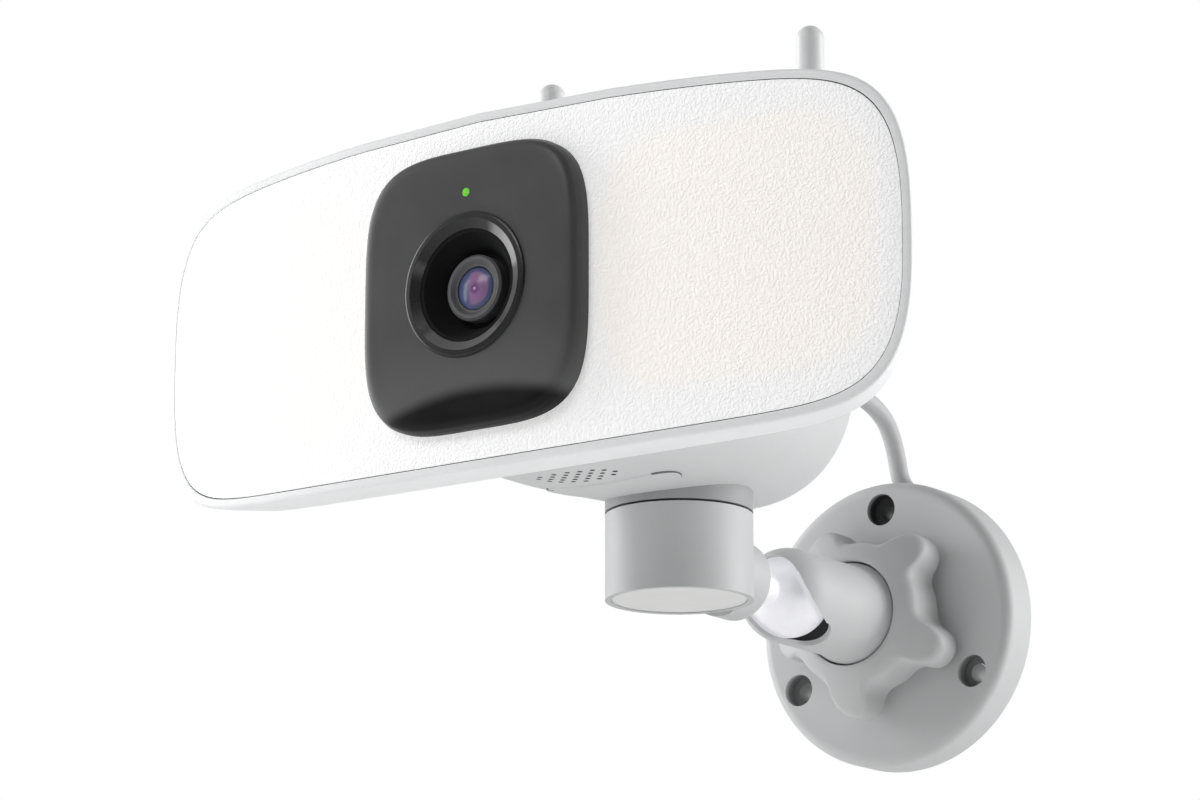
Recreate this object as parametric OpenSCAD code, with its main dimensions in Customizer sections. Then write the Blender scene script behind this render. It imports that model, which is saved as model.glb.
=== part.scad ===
// Floodlight security camera on a ball-jointed wall bracket.
// Origin: centre of the wall plate's back face. The front faces -Y, +X is right, +Z is up.

/* [Light panel] */
// Width of the diffuser
diffuser_w = 207.8; // [196:0.2:216]
// Height of the diffuser
diffuser_h = 79.9; // [76:0.1:84]
// Radius of the panel's bow, seen from above
bow_r = 381.8; // [340:0.1:450]
// Width of the white frame around the diffuser
frame_rim = 2.2; // [1.8:0.1:3]
// Depth of the frame's side band
frame_depth = 13; // [12:0.5:15]
// Distance from the wall to the middle of the diffuser
front_depth = 186.3; // [182:0.1:190]
// Height of the panel's centre above the plate's centre
panel_z = 50.6; // [50:0.1:53]

/* [Camera] */
// Width of the dark front cover
cover_w = 61; // [58:0.5:64]
// Height of the dark front cover
cover_h = 66; // [63:0.5:70]
// How far the cover stands proud of the diffuser
cover_proud = 4.6; // [4:0.1:5]
// Outer diameter of the lens trim ring
trim_d = 34; // [33:0.2:36]
// Diameter of the opening inside the trim ring
recess_d = 26.4; // [25:0.2:28]
// Outer diameter of the lens barrel
barrel_d = 15.5; // [14:0.1:16]
// Diameter of the front lens
lens_d = 10.2; // [9:0.1:11]

/* [Rear housing] */
// Width of the rear housing
pod_w = 94; // [92:1:100]
// Height of the rear housing
pod_h = 73.4; // [70:0.2:76]
// Distance from the wall to the housing's back
pod_back = 76; // [74:0.5:80]
// Height of an antenna's tip
antenna_top = 129; // [120:1:140]
// Diameter of an antenna
antenna_d = 6.9; // [6:0.1:8]
// Distance between the antennas
antenna_gap = 77.6; // [74:0.2:80]

/* [Arm] */
// Diameter of the post
post_d = 35.8; // [34:0.2:38]
// Distance from the wall to the post's axis
post_depth = 105.2; // [104:0.1:107]
// Height of the swivel joint's groove
swivel_z = 12.3; // [11:0.1:13]
// Height of the post's lower end
post_low = -8.8; // [-12:0.1:-8.6]

/* [Ball joint] */
// Diameter of the steel ball
ball_d = 21.2; // [21:0.1:21.4]
// Distance from the wall to the ball's centre
ball_depth = 57; // [55:0.5:59]
// Outer diameter of the socket sleeve
sleeve_d = 24.1; // [24:0.1:26]
// Direction of the sleeve's slot, from +X towards +Z
slot_angle = -62; // [-90:1:-30]

/* [Wall plate] */
// Diameter of the wall plate
plate_d = 75; // [72:1:80]
// Thickness of the wall plate
plate_t = 11.4; // [11:0.1:12.5]
// Diameter of the circle through the three screw holes
screw_pcd = 60.3; // [59:0.1:61]
// Diameter of a screw hole
screw_d = 4.6; // [4.2:0.1:5]
// Diameter of a screw head's counterbore
head_d = 8.4; // [8:0.1:9]

/* [Power lead] */
// Diameter of the power lead
lead_d = 4.8; // [4.4:0.1:5]

/* [Hidden] */
$fn = 96;

// Superellipse powers of the panel, the cover and the rear housing
panel_nx = 13.2;
panel_nz = 2.79;
panel_droop = 0.0964;
cover_n = 4;
pod_n = 2.35;

// Points in one loft ring
ring_n = 72;

// Half sizes of the diffuser's opening in the frame
open_w = diffuser_w / 2;
open_h = diffuser_h / 2;
part_gap = 0.3;
slide_gap = 0.05;

// Depths behind the diffuser's front, through the panel
diffuser_t = 2;
seal_t = 0.6;
ledge_back = 4;
shell_back = frame_depth + 8;
wall_t = 2;

post_r = post_d / 2;
sleeve_r = sleeve_d / 2;
ball_r = ball_d / 2;
socket_r = ball_r + 0.12;
stem_r = 4.4;
shank_r = 3.9;
boss_r = 9.8;
boss_end = 79;

// Star knob, and the sleeve's flange that it holds down
knob_back = 14.4;
knob_rim = 24;
knob_front = 28.9;
knob_lobes = 5;
lobe_phase = 46.2;
lobe_tip = 26;
lobe_r = 5.3;
fillet_r = 5;
core_r = 18.8;
spigot_r = 16.5;
spigot_end = 19.5;
neck_r = 13.05;
knob_mouth_r = 13.5;
flange_r = 15.8;
flange_end = 22.4;

// Pan pivot
pivot_r = 3;
collar_top = 20;
washer_t = 0.6;

// Camera stack, as depths from the wall
cover_front = front_depth + cover_proud;
trim_front = cover_front + 0.6;
recess_front = cover_front - 0.5;
barrel_front = 187.8;
lens_apex = 187.9;

// Antenna hinge
antenna_hinge_z = 83.5;
antenna_foot = 4;
antenna_low = 57;
antenna_depth = 104.6;

// Service flap under the housing
flap_depth = 132;
flap_w = 38;
flap_l = 13.2;
flap_z = 15.4;

// Power lead: from the housing's back to the connector inside the wall plate
lead_path = [
    [0, -77, 59], [0, -68, 59], [0, -58, 59], [0.1, -49, 59.1], [0.3, -41, 59.1],
    [0.6, -33, 59], [1, -26, 58.7], [1.3, -20, 57.7], [1.5, -15, 56], [1.7, -11, 53.4],
    [1.7, -8.2, 50], [1.7, -6.4, 46.4], [1.8, -5.3, 42.8], [2.1, -4.8, 39.8], [3.1, -4.6, 37.4],
    [4.8, -4.5, 35.2], [6.6, -4.5, 33.1], [8.1, -4.5, 30.7], [9, -4.5, 28], [9.2, -4.5, 25]
];
lead_sides = 8;

white = [0.93, 0.93, 0.93];
dark = [0.2, 0.2, 0.21];
black = [0.06, 0.06, 0.06];
steel = [0.8, 0.81, 0.83];
rubber = [0.3, 0.3, 0.31];
green = [0.1, 0.42, 0.25];

// ---------- helpers ----------

// How far the bowed panel falls back at x
function sag(x) = bow_r - sqrt(bow_r * bow_r - x * x);

// A ring with superellipse corners, bowed like the panel where bow is 1
function ring(w, h, depth, nx, nz, droop, bow) = [
    for (i = [0 : ring_n - 1])
        let (s = cos(360 * i / ring_n), up = sign(sin(360 * i / ring_n)))
        let (rise = pow(max(0, 1 - pow(abs(s), nx)), 1 / nz) * (1 - droop * s * s))
        [w * s, -depth + bow * sag(w * s), panel_z + up * h * rise]
];

// The quad or triangle between one pair of steps on a ring's top and bottom
function cap_strip(i, base) =
    let (t0 = i, t1 = i + 1, b1 = ring_n - i - 1, b0 = (ring_n - i) % ring_n)
    let (all = b0 == t0 ? [b1, t1, t0] : b1 == t1 ? [b0, t1, t0] : [b0, b1, t1, t0])
    [for (p = all) base + p];

// Solid through a list of rings, front ring first
module loft(rings) {
    last = (len(rings) - 1) * ring_n;
    front_cap = [for (i = [0 : ring_n / 2 - 1]) cap_strip(i, 0)];
    back_cap = [
        for (i = [0 : ring_n / 2 - 1])
            let (strip = cap_strip(i, last))
            [for (k = [len(strip) - 1 : -1 : 0]) strip[k]]
    ];
    sides = [
        for (k = [0 : len(rings) - 2], i = [0 : ring_n - 1])
            let (j = (i + 1) % ring_n, a = k * ring_n, b = a + ring_n)
            each [[a + i, a + j, b + j], [a + i, b + j, b + i]]
    ];
    polyhedron([for (r = rings) each r], concat(front_cap, sides, back_cap));
}

// Panel-shaped solid from stations of [extra half width, extra half height, depth behind front]
module panel_solid(stations) {
    loft([
        for (s = stations)
            ring(open_w + s[0], open_h + s[1], front_depth - s[2],
                panel_nx, panel_nz, panel_droop, 1)
    ]);
}

// Round-cornered block from stations of [half width, half height, depth from the wall]
module soft_block(stations, power) {
    loft([for (s = stations) ring(s[0], s[1], s[2], power, power, 0, 0)]);
}

// Children drawn on the XY plane, rising towards the front from a depth
module facing(depth, x = 0, z = 0) {
    translate([x, -depth, z])
        rotate([90, 0, 0])
            children();
}

module tube(r_out, r_in, h) {
    difference() {
        cylinder(r = r_out, h = h);
        translate([0, 0, -1])
            cylinder(r = r_in, h = h + 2);
    }
}

// Disc with its top edge rounded
module round_edge_disc(r, t, edge) {
    rotate_extrude() {
        square([r - edge, t]);
        square([r, t - edge]);
        translate([r - edge, t - edge])
            intersection() {
                circle(edge);
                square(edge);
            }
    }
}

// Children at a panel position: x across, then turned square to the bow
module on_panel(x, behind) {
    translate([x, -front_depth + sag(x) + behind, panel_z])
        rotate([0, 0, asin(x / bow_r)])
            children();
}

// ---------- wall bracket ----------

screw_angles = [90, 210, 330];
recess_depth = 7.4;

module screw_places() {
    for (a = screw_angles)
        rotate(a)
            translate([screw_pcd / 2, 0])
                children();
}

// Rim port, at a slant past the top screw
module lead_port(r, h) {
    translate([3.1, -4.6, 37.2])
        rotate([0, 142, 0])
            translate([0, 0, -4])
                cylinder(r = r, h = h);
}

module wall_plate() {
    color(white)
        difference() {
            union() {
                facing(0)
                    round_edge_disc(plate_d / 2, plate_t, 3);
                facing(plate_t - 1)
                    cylinder(r = spigot_r, h = spigot_end - plate_t + 1);
            }
            // hollow back, leaving the screw bosses and the hub
            facing(-1)
                linear_extrude(recess_depth + 1)
                    difference() {
                        circle(plate_d / 2 - 6.5);
                        circle(spigot_r + 2);
                        screw_places()
                            circle(screw_d / 2 + 2);
                    }
            // seal groove in the back of the rim
            facing(-1)
                tube(plate_d / 2 - 1.8, plate_d / 2 - 5, 2.4);
            facing(0)
                screw_places() {
                    translate([0, 0, -1])
                        cylinder(r = screw_d / 2, h = plate_t + 2);
                    translate([0, 0, recess_depth])
                        cylinder(r = head_d / 2, h = plate_t);
                }
            lead_port(4.1, 17);
            // hollow hub
            facing(-1)
                cylinder(r = 12, h = 12);
        }
}

module wall_gasket() {
    color(rubber)
        difference() {
            facing(0)
                tube(plate_d / 2 - 1.9, plate_d / 2 - 4.9, 1.3);
            lead_port(4.2, 13);
        }
}

module lead_grommet() {
    color(rubber)
        difference() {
            intersection() {
                lead_port(4.05, 8);
                facing(0.2)
                    cylinder(r = plate_d / 2 - 0.9, h = 8.4);
            }
            translate([0, 0, 0.1])
                lead_port(lead_d / 2 + 0.3, 9);
        }
}

module lead_connector() {
    color(black)
        translate([6, -6.9, 19.8])
            difference() {
                cube([6.4, 4.8, 5]);
                translate([1.2, 1.4, -1])
                    cube([4, 2, 4]);
            }
}

// ---------- star knob ----------

module star_outline() {
    lobe_c = lobe_tip - lobe_r;
    fillet_d = core_r + fillet_r;
    fillet_x = (fillet_d * fillet_d - pow(lobe_r + fillet_r, 2) + lobe_c * lobe_c) / (2 * lobe_c);
    fillet_y = sqrt(fillet_d * fillet_d - fillet_x * fillet_x);
    circle(core_r);
    for (k = [0 : knob_lobes - 1])
        rotate(lobe_phase + 360 * k / knob_lobes) {
            translate([lobe_c, 0])
                circle(lobe_r);
            difference() {
                polygon([[0, 0], [fillet_x, -fillet_y], [lobe_c, 0], [fillet_x, fillet_y]]);
                translate([fillet_x, fillet_y])
                    circle(fillet_r);
                translate([fillet_x, -fillet_y])
                    circle(fillet_r);
            }
        }
}

module star_knob() {
    color(white)
        facing(0)
            difference() {
                intersection() {
                    translate([0, 0, knob_back])
                        linear_extrude(knob_front - knob_back)
                            star_outline();
                    rotate_extrude()
                        polygon([
                            [0, knob_back], [lobe_tip - 1.6, knob_back],
                            [lobe_tip + 0.1, knob_back + 1.8], [lobe_tip + 0.1, knob_rim - 3.2],
                            [lobe_tip - 0.8, knob_rim - 1.4], [lobe_tip - 2.6, knob_rim],
                            [19.5, knob_rim + 2.6], [15.6, knob_front - 0.4],
                            [14.4, knob_front], [0, knob_front]
                        ]);
                }
                // thread on the plate's spigot
                translate([0, 0, knob_back - 1])
                    cylinder(r = spigot_r + slide_gap, h = flange_end + part_gap - knob_back + 1);
                cylinder(r = knob_mouth_r, h = knob_front + 1);
            }
}

// ---------- ball joint ----------

slot_r = stem_r + 0.45;
mouth_r = 9;
slot_end = 49;
seat_back = 39;

// The stem's swept path in the slot, from straight ahead round to the slot's end
module stem_slot() {
    rotate([0, -slot_angle, 0])
        translate([0, -ball_depth, -slot_r])
            cube([sleeve_d, ball_depth - slot_end - slot_r, 2 * slot_r]);
    rotate([0, -slot_angle, 0])
        translate([0, -slot_end - slot_r, 0])
            rotate([0, 90, 0])
                cylinder(r = slot_r, h = sleeve_d);
    rotate([0, -slot_angle, 0])
        translate([0, -ball_depth - sleeve_d, -slot_r])
            cube([sleeve_d, sleeve_d, 2 * slot_r]);
}

module socket_sleeve() {
    color(white)
        difference() {
            union() {
                facing(0)
                    rotate_extrude()
                        polygon([
                            [0, spigot_end + part_gap], [flange_r, spigot_end + part_gap],
                            [flange_r, flange_end], [neck_r, flange_end],
                            [neck_r, knob_front - 0.6], [neck_r - 0.4, knob_front + 0.4],
                            [sleeve_r, knob_front + 2.6], [sleeve_r, ball_depth],
                            [0, ball_depth]
                        ]);
                translate([0, -ball_depth, 0])
                    sphere(sleeve_r);
            }
            facing(spigot_end - 1)
                cylinder(r = socket_r, h = ball_depth - spigot_end + 1);
            translate([0, -ball_depth, 0])
                sphere(socket_r);
            facing(ball_depth)
                cylinder(r = mouth_r, h = sleeve_d);
            stem_slot();
        }
}

module ball_seat() {
    color(black)
        difference() {
            facing(seat_back)
                cylinder(r = socket_r - 0.08, h = 10);
            translate([0, -ball_depth, 0])
                sphere(ball_r + 0.1);
            stem_slot();
        }
}

module seat_spring() {
    color(steel)
        facing(seat_back - 1.5)
            tube(socket_r - 0.9, 5.4, 1.4);
}

module clamp_pusher() {
    color(steel)
        facing(spigot_end + 0.5) {
            cylinder(r = 9, h = 3);
            cylinder(r = 5, h = seat_back - spigot_end - 0.6);
            translate([0, 0, seat_back - spigot_end - 5.1])
                cylinder(r = 9.6, h = 3);
        }
}

module pivot_ball() {
    color(steel)
        facing(ball_depth)
            rotate_extrude()
                difference() {
                    circle(ball_r);
                    translate([-ball_d, -ball_d])
                        square([ball_d, 2 * ball_d]);
                    translate([-1, -6])
                        square([shank_r + slide_gap + 1, ball_d]);
                }
}

stem_end = 97;

module ball_stem() {
    color(steel)
        facing(ball_depth - 5.8) {
            cylinder(r = shank_r, h = stem_end - ball_depth + 5.8);
            translate([0, 0, 5.8 + ball_r + 0.2])
                cylinder(r = stem_r, h = boss_end - ball_depth - ball_r + 1.8);
        }
}

module stem_nut() {
    color(steel)
        facing(91.6)
            difference() {
                cylinder(r = 6.8, h = 3.4, $fn = 6);
                translate([0, 0, -1])
                    cylinder(r = shank_r + 0.02, h = 6);
            }
}

// ---------- post and pan joint ----------

elbow_top = swivel_z - washer_t / 2;
cavity_r = post_r - 2.4;
pivot_floor = 7.6;
cap_r = post_r - 1.65;
bolt_low = -4.8;
bolt_head = 3.5;

module elbow_axis(z) {
    translate([0, -post_depth, z])
        children();
}

module arm_elbow() {
    color(white)
        difference() {
            union() {
                elbow_axis(post_low)
                    cylinder(r = post_r, h = elbow_top - post_low);
                facing(boss_end)
                    rotate_extrude() {
                        translate([0, 1.2])
                            square([boss_r, post_depth - boss_end - 1.2]);
                        square([boss_r - 1.2, 3]);
                        translate([boss_r - 1.2, 1.2])
                            circle(1.2);
                    }
            }
            // the boss stays level with the post's lower end
            elbow_axis(post_low - 3)
                cylinder(r = post_r, h = 3);
            elbow_axis(post_low - 1)
                cylinder(r = cavity_r, h = pivot_floor - post_low + 1);
            // cap seat
            elbow_axis(post_low - 1)
                cylinder(r = cap_r + 0.15, h = 3.4);
            elbow_axis(0)
                cylinder(r = pivot_r + slide_gap, h = 20);
            facing(boss_end - 1)
                cylinder(r = shank_r + 0.02, h = post_depth - boss_end);
            facing(boss_end - 1)
                cylinder(r = stem_r + 0.02, h = 2.7);
        }
}

module post_cap() {
    color(white)
        elbow_axis(post_low + 0.3) {
            cylinder(r = cap_r, h = 1.9);
            cylinder(r = cavity_r - 0.1, h = 2.2);
        }
}

module pan_washer() {
    color(rubber)
        elbow_axis(elbow_top)
            tube(post_r - 0.7, pivot_r + 0.6, washer_t - 0.1);
}

module pan_collar() {
    color(white)
        elbow_axis(elbow_top + washer_t)
            difference() {
                cylinder(r = post_r, h = collar_top - elbow_top - washer_t);
                translate([0, 0, -1])
                    cylinder(r = pivot_r + 0.02, h = 20);
            }
}

module pan_bolt() {
    color(steel)
        elbow_axis(bolt_low) {
            cylinder(r = 5.5, h = bolt_head);
            cylinder(r = pivot_r, h = collar_top + 7 - bolt_low);
        }
}

module pan_spring() {
    color(steel)
        elbow_axis(bolt_low + bolt_head + 0.1)
            tube(7.6, pivot_r + 0.1, pivot_floor - bolt_low - bolt_head - 0.2);
}

module pan_nut() {
    color(steel)
        elbow_axis(collar_top + 2.7)
            difference() {
                cylinder(r = 5.8, h = 3, $fn = 6);
                translate([0, 0, -1])
                    cylinder(r = pivot_r + 0.02, h = 6);
            }
}

// ---------- rear housing ----------

pod_front = front_depth - shell_back - 0.1;
pod_round = 60;
pod_power = 1.4;
flat_w = 0.68;
flat_h = 0.87;

// Domed back: 1 where the dome starts, 0 where it meets the flat end
function pod_share(t) = pow(1 - pow(t, pod_power), 1 / pod_power);

module pod_solid(inset, back_inset) {
    a = pod_w / 2 - inset;
    b = pod_h / 2 - inset;
    steps = [0, 0.2, 0.38, 0.55, 0.7, 0.82, 0.91, 0.97, 1];
    back = pod_back + back_inset;
    lead_in = inset > 0 ? -1 : 0;
    loft(concat(
        [ring(a, b, pod_front - lead_in, pod_n, pod_n, 0, 1)],
        [
            for (t = steps)
                let (k = pod_share(t), kw = flat_w + (1 - flat_w) * k, kh = flat_h + (1 - flat_h) * k)
                ring(a * kw, b * kh, back + pod_round * (1 - t), pod_n, pod_n, 0, 0)
        ]
    ));
}

// Rows of the round speaker grille: holes in each row, front to back
grille_rows = [2, 4, 5, 5, 5, 4, 2];
grille_pitch = 2.1;
grille_depth = 147.5;

module grille_holes() {
    for (row = [0 : len(grille_rows) - 1], k = [0 : grille_rows[row] - 1])
        translate([
            (row - 3) * grille_pitch,
            -grille_depth + (k - (grille_rows[row] - 1) / 2) * grille_pitch * 1.15,
            8
        ])
            cylinder(r = 0.65, h = 12, $fn = 16);
}

module flap_outline(grow) {
    for (side = [-1, 1])
        translate([side * (flap_w - flap_l) / 2, -flap_depth])
            circle(flap_l / 2 + grow);
    translate([-(flap_w - flap_l) / 2, -flap_depth - flap_l / 2 - grow])
        square([flap_w - flap_l, flap_l + 2 * grow]);
}

housing_screw_places = [[-20, -17], [20, -17], [-20, 17], [20, 17]];

module rear_housing() {
    color(white)
        difference() {
            pod_solid(0, 0);
            difference() {
                pod_solid(2.4, 2.4);
                // floor pad under the flap, and bosses for the screws
                translate([-24, -139.5, 8])
                    cube([48, 17.5, 10.5]);
                elbow_axis(8)
                    cylinder(r = post_r + 3, h = collar_top - 5.4);
                for (p = housing_screw_places)
                    facing(pod_back, p[0], panel_z + p[1])
                        cylinder(r = 5, h = 8);
            }
            grille_holes();
            // collar pocket, pivot hole
            elbow_axis(0)
                cylinder(r = post_r + 0.02, h = collar_top + 0.05);
            elbow_axis(0)
                cylinder(r = pivot_r + 0.5, h = 30);
            // flap pocket and its two openings
            translate([0, 0, 4])
                linear_extrude(flap_z - 4 + 1.1)
                    flap_outline(0.15);
            translate([7, -flap_depth, 10])
                cylinder(r = 1.9, h = 12);
            translate([-13, -flap_depth - 1.8, 10])
                cube([13, 3.6, 12]);
            // lead outlet
            facing(pod_back - 4, 0, 59)
                cylinder(r = 4.6, h = 12);
            for (p = housing_screw_places)
                facing(pod_back - 1, p[0], panel_z + p[1]) {
                    cylinder(r = 1.6, h = 12);
                    cylinder(r = 3.1, h = 3.4);
                }
            // antenna sockets
            for (side = [-1, 1])
                translate([side * antenna_gap / 2, -antenna_depth, antenna_low - 0.1])
                    cylinder(r = 3.5, h = 30);
        }
}

// ---------- panel shell ----------

module back_cover() {
    color(white)
        difference() {
            panel_solid([
                [-5, 1.3, frame_depth + 0.05], [-6.6, 0.6, frame_depth + 1.6],
                [-12, -3.4, frame_depth + 5], [-18, -7.4, frame_depth + 7.2],
                [-24, -11, shell_back]
            ]);
            panel_solid([
                [-8, -1.2, frame_depth - 1], [-9, -1.9, frame_depth + 0.8],
                [-15, -6.4, frame_depth + 4.4], [-22, -10.4, shell_back - 2.2]
            ]);
            for (p = frame_screw_places)
                translate([p[0], -front_depth + sag(p[0]), panel_z + p[1]])
                    rotate([-90, 0, 0]) {
                        cylinder(r = 1.25, h = shell_back + 2);
                        translate([0, 0, shell_back - 1.05])
                            cylinder(r = 2.5, h = 4);
                    }
            // passage into the rear housing
            facing(front_depth - shell_back - 6, 0, panel_z)
                linear_extrude(14)
                    square([72, 46], center = true);
        }
}

module front_frame() {
    color(white)
        difference() {
            panel_solid([
                [frame_rim - 1.1, frame_rim - 1, 0], [frame_rim - 0.4, frame_rim - 0.3, 0.35],
                [frame_rim, frame_rim, 1.4], [frame_rim - 2.4, frame_rim - 0.2, 5],
                [-5, 1.3, frame_depth]
            ]);
            panel_solid([[0, 0, -1], [0, 0, diffuser_t + seal_t]]);
            panel_solid([[-3, -3, 1], [-3, -3, ledge_back + 0.5]]);
            panel_solid([
                [-3, -1.2, ledge_back], [-4.4, -1.2, 7],
                [-8, -1.2, frame_depth + 1]
            ]);
        }
}

module cover_opening(grow) {
    soft_block([
        [cover_w / 2 + grow, cover_h / 2 + grow, front_depth + 12],
        [cover_w / 2 + grow, cover_h / 2 + grow, front_depth - 12]
    ], cover_n);
}

module diffuser() {
    color(white)
        difference() {
            panel_solid([[-part_gap, -part_gap, 0], [-part_gap, -part_gap, diffuser_t]]);
            cover_opening(-0.6);
        }
}

module diffuser_seal() {
    color(rubber)
        difference() {
            panel_solid([
                [-0.05, -0.05, diffuser_t + 0.05],
                [-0.05, -0.05, diffuser_t + seal_t - 0.05]
            ]);
            panel_solid([[-3, -3, 0], [-3, -3, 8]]);
        }
}

// ---------- light engines ----------

board_x = 64;
board_w = 56;
board_h = 54;
board_behind = 9.4;

module led_boards() {
    color(white)
        for (side = [-1, 1])
            on_panel(side * board_x, board_behind)
                difference() {
                    translate([-board_w / 2, 0, -board_h / 2])
                        cube([board_w, 1.2, board_h]);
                    for (x = [-1, 1], z = [-1, 1])
                        translate([x * (board_w / 2 - 3), -1, z * (board_h / 2 - 3)])
                            rotate([-90, 0, 0])
                                cylinder(r = 1.5, h = 4, $fn = 32);
                }
}

led_cols = 4;
led_rows = 4;
led_pitch = 12;

module led_chips() {
    color([1, 0.93, 0.7])
        for (side = [-1, 1])
            on_panel(side * board_x, board_behind)
                for (col = [0 : led_cols - 1], row = [0 : led_rows - 1])
                    translate([
                        (col - (led_cols - 1) / 2) * led_pitch - 1.5,
                        -0.75,
                        (row - (led_rows - 1) / 2) * led_pitch - 1.5
                    ])
                        cube([3, 0.7, 3]);
}

module led_reflectors() {
    color(white)
        for (side = [-1, 1])
            on_panel(side * board_x, board_behind)
                difference() {
                    translate([-board_w / 2, -5.4, -board_h / 2])
                        cube([board_w, 5.3, board_h]);
                    translate([-board_w / 2 + 1.2, -6, -board_h / 2 + 1.2])
                        cube([board_w - 2.4, 7, board_h - 2.4]);
                }
}

module heat_sink() {
    color(steel)
        for (side = [-1, 1])
            on_panel(side * board_x, board_behind + 1.3) {
                translate([-board_w / 2, 0, -board_h / 2])
                    cube([board_w, 1.6, board_h]);
                for (k = [-3 : 3])
                    translate([k * 5.8 - 0.5, 1.5, -board_h / 2 + 4])
                        cube([1, 4.2, board_h - 8]);
            }
}

// ---------- camera ----------

module camera_cover() {
    w = cover_w / 2;
    h = cover_h / 2;
    color(dark)
        difference() {
            soft_block([
                [w - 14, h - 15, cover_front], [w - 5.4, h - 6.4, cover_front - 0.25],
                [w - 2.4, h - 2.8, cover_front - 0.9], [w - 0.7, h - 0.9, cover_front - 2.1],
                [w, h, cover_front - 4], [w, h, front_depth - 1.1]
            ], cover_n);
            soft_block([
                [w - 8, h - 9, cover_front - 2.2], [w - 2.4, h - 2.8, cover_front - 4.4],
                [w - 2.4, h - 2.8, front_depth - 3]
            ], cover_n);
            // diffuser edge, which runs under the cover's rim
            panel_solid([[2, 2, 0], [2, 2, 8]]);
            facing(front_depth - 4, 0, panel_z)
                cylinder(r = trim_d / 2 - 1.3, h = 14);
            facing(front_depth - 4, 0, panel_z + 21.8)
                cylinder(r = 1.05, h = 14);
        }
}

module lens_trim() {
    r = trim_d / 2;
    color(dark)
        facing(0, 0, panel_z)
            rotate_extrude()
                polygon([
                    [r - 1.35, cover_front - 3], [r - 1.35, cover_front + 0.02],
                    [r, cover_front + 0.02], [r - 0.2, trim_front - 0.15],
                    [r - 0.6, trim_front], [r - 1.6, trim_front + 0.1],
                    [recess_d / 2, recess_front], [recess_d / 2, cover_front - 3]
                ]);
}

module lens_recess() {
    color(black)
        facing(0, 0, panel_z)
            rotate_extrude()
                polygon([
                    [recess_d / 2 - 0.02, recess_front - 0.2],
                    [recess_d / 2 - 0.9, recess_front - 0.2],
                    [barrel_d / 2 + 0.9, 184.6], [barrel_d / 2 + 0.1, 184.6],
                    [barrel_d / 2 + 0.1, 183.4], [recess_d / 2 - 0.02, 186.4]
                ]);
}

module lens_barrel() {
    color(dark)
        facing(0, 0, panel_z)
            rotate_extrude()
                polygon([
                    [barrel_d / 2, 170], [barrel_d / 2, barrel_front - 0.5],
                    [barrel_d / 2 - 0.5, barrel_front], [barrel_d / 2 - 1.3, barrel_front],
                    [lens_d / 2 + 0.5, 186.9], [lens_d / 2 + 0.05, 186.9],
                    [lens_d / 2 + 0.05, 183.9], [4.2, 183.9], [4.2, 170]
                ]);
}

module front_lens() {
    cap_r = 10;
    color([0.35, 0.3, 0.5])
        intersection() {
            facing(184, 0, panel_z)
                cylinder(r = lens_d / 2, h = 8);
            translate([0, -lens_apex + cap_r, panel_z])
                sphere(cap_r);
        }
}

module rear_lens() {
    color([0.5, 0.55, 0.65])
        facing(176, 0, panel_z)
            cylinder(r = 4.15, h = 3);
}

module lens_holder() {
    color(black)
        difference() {
            translate([-10, -176, panel_z - 10])
                cube([20, 8, 20]);
            facing(166, 0, panel_z)
                cylinder(r = barrel_d / 2 + 0.02, h = 12);
        }
}

module image_sensor() {
    color([0.12, 0.16, 0.14])
        translate([-4, -168.8, panel_z - 3.5])
            cube([8, 1.7, 7]);
}

module sensor_board() {
    color(green)
        translate([-16, -167, panel_z - 15])
            cube([32, 1.4, 30]);
}

module status_light() {
    color([0.35, 0.85, 0.2])
        facing(front_depth - 3, 0, panel_z + 21.8)
            cylinder(r = 1, h = cover_proud + 2.95);
}

// ---------- electronics ----------

module main_board() {
    color(green)
        translate([-30, -150, panel_z - 24])
            cube([60, 1.6, 50]);
}

module radio_shield() {
    color(steel)
        translate([8, -152.6, panel_z + 4])
            cube([16, 2.5, 18]);
}

module speaker() {
    color(black)
        translate([0, -grille_depth, 19.3]) {
            cylinder(r = 7.9, h = 1.2);
            translate([0, 0, 1.2])
                cylinder(r = 6.4, h = 4);
        }
}

module speaker_gasket() {
    color(rubber)
        translate([0, -grille_depth, 16.9])
            tube(7.9, 7.1, 2.3);
}

module service_flap() {
    color(white)
        difference() {
            translate([0, 0, flap_z - 1])
                linear_extrude(2)
                    flap_outline(0);
            // thumbnail notch
            translate([-16.5, -flap_depth - flap_l / 2 + 0.4, flap_z - 1.6])
                rotate([0, 0, 35])
                    cube([3, 1, 1.2]);
        }
}

module reset_button() {
    color(black)
        translate([7, -flap_depth, flap_z + 1.7]) {
            cylinder(r = 1.7, h = 2);
            translate([0, 0, 2])
                cylinder(r = 1.2, h = 1.2);
        }
}

module card_slot() {
    color(steel)
        difference() {
            translate([-13.5, -flap_depth - 1.4, 19.2])
                cube([14, 2.8, 12]);
            translate([-12.5, -flap_depth - 0.5, 18])
                cube([12, 1, 12]);
        }
}

// ---------- antennas, outlet and screws ----------

module at_antenna(side, z) {
    translate([side * antenna_gap / 2, -antenna_depth, z])
        children();
}

ear_t = 1.7;
ear_gap = 3;

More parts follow.
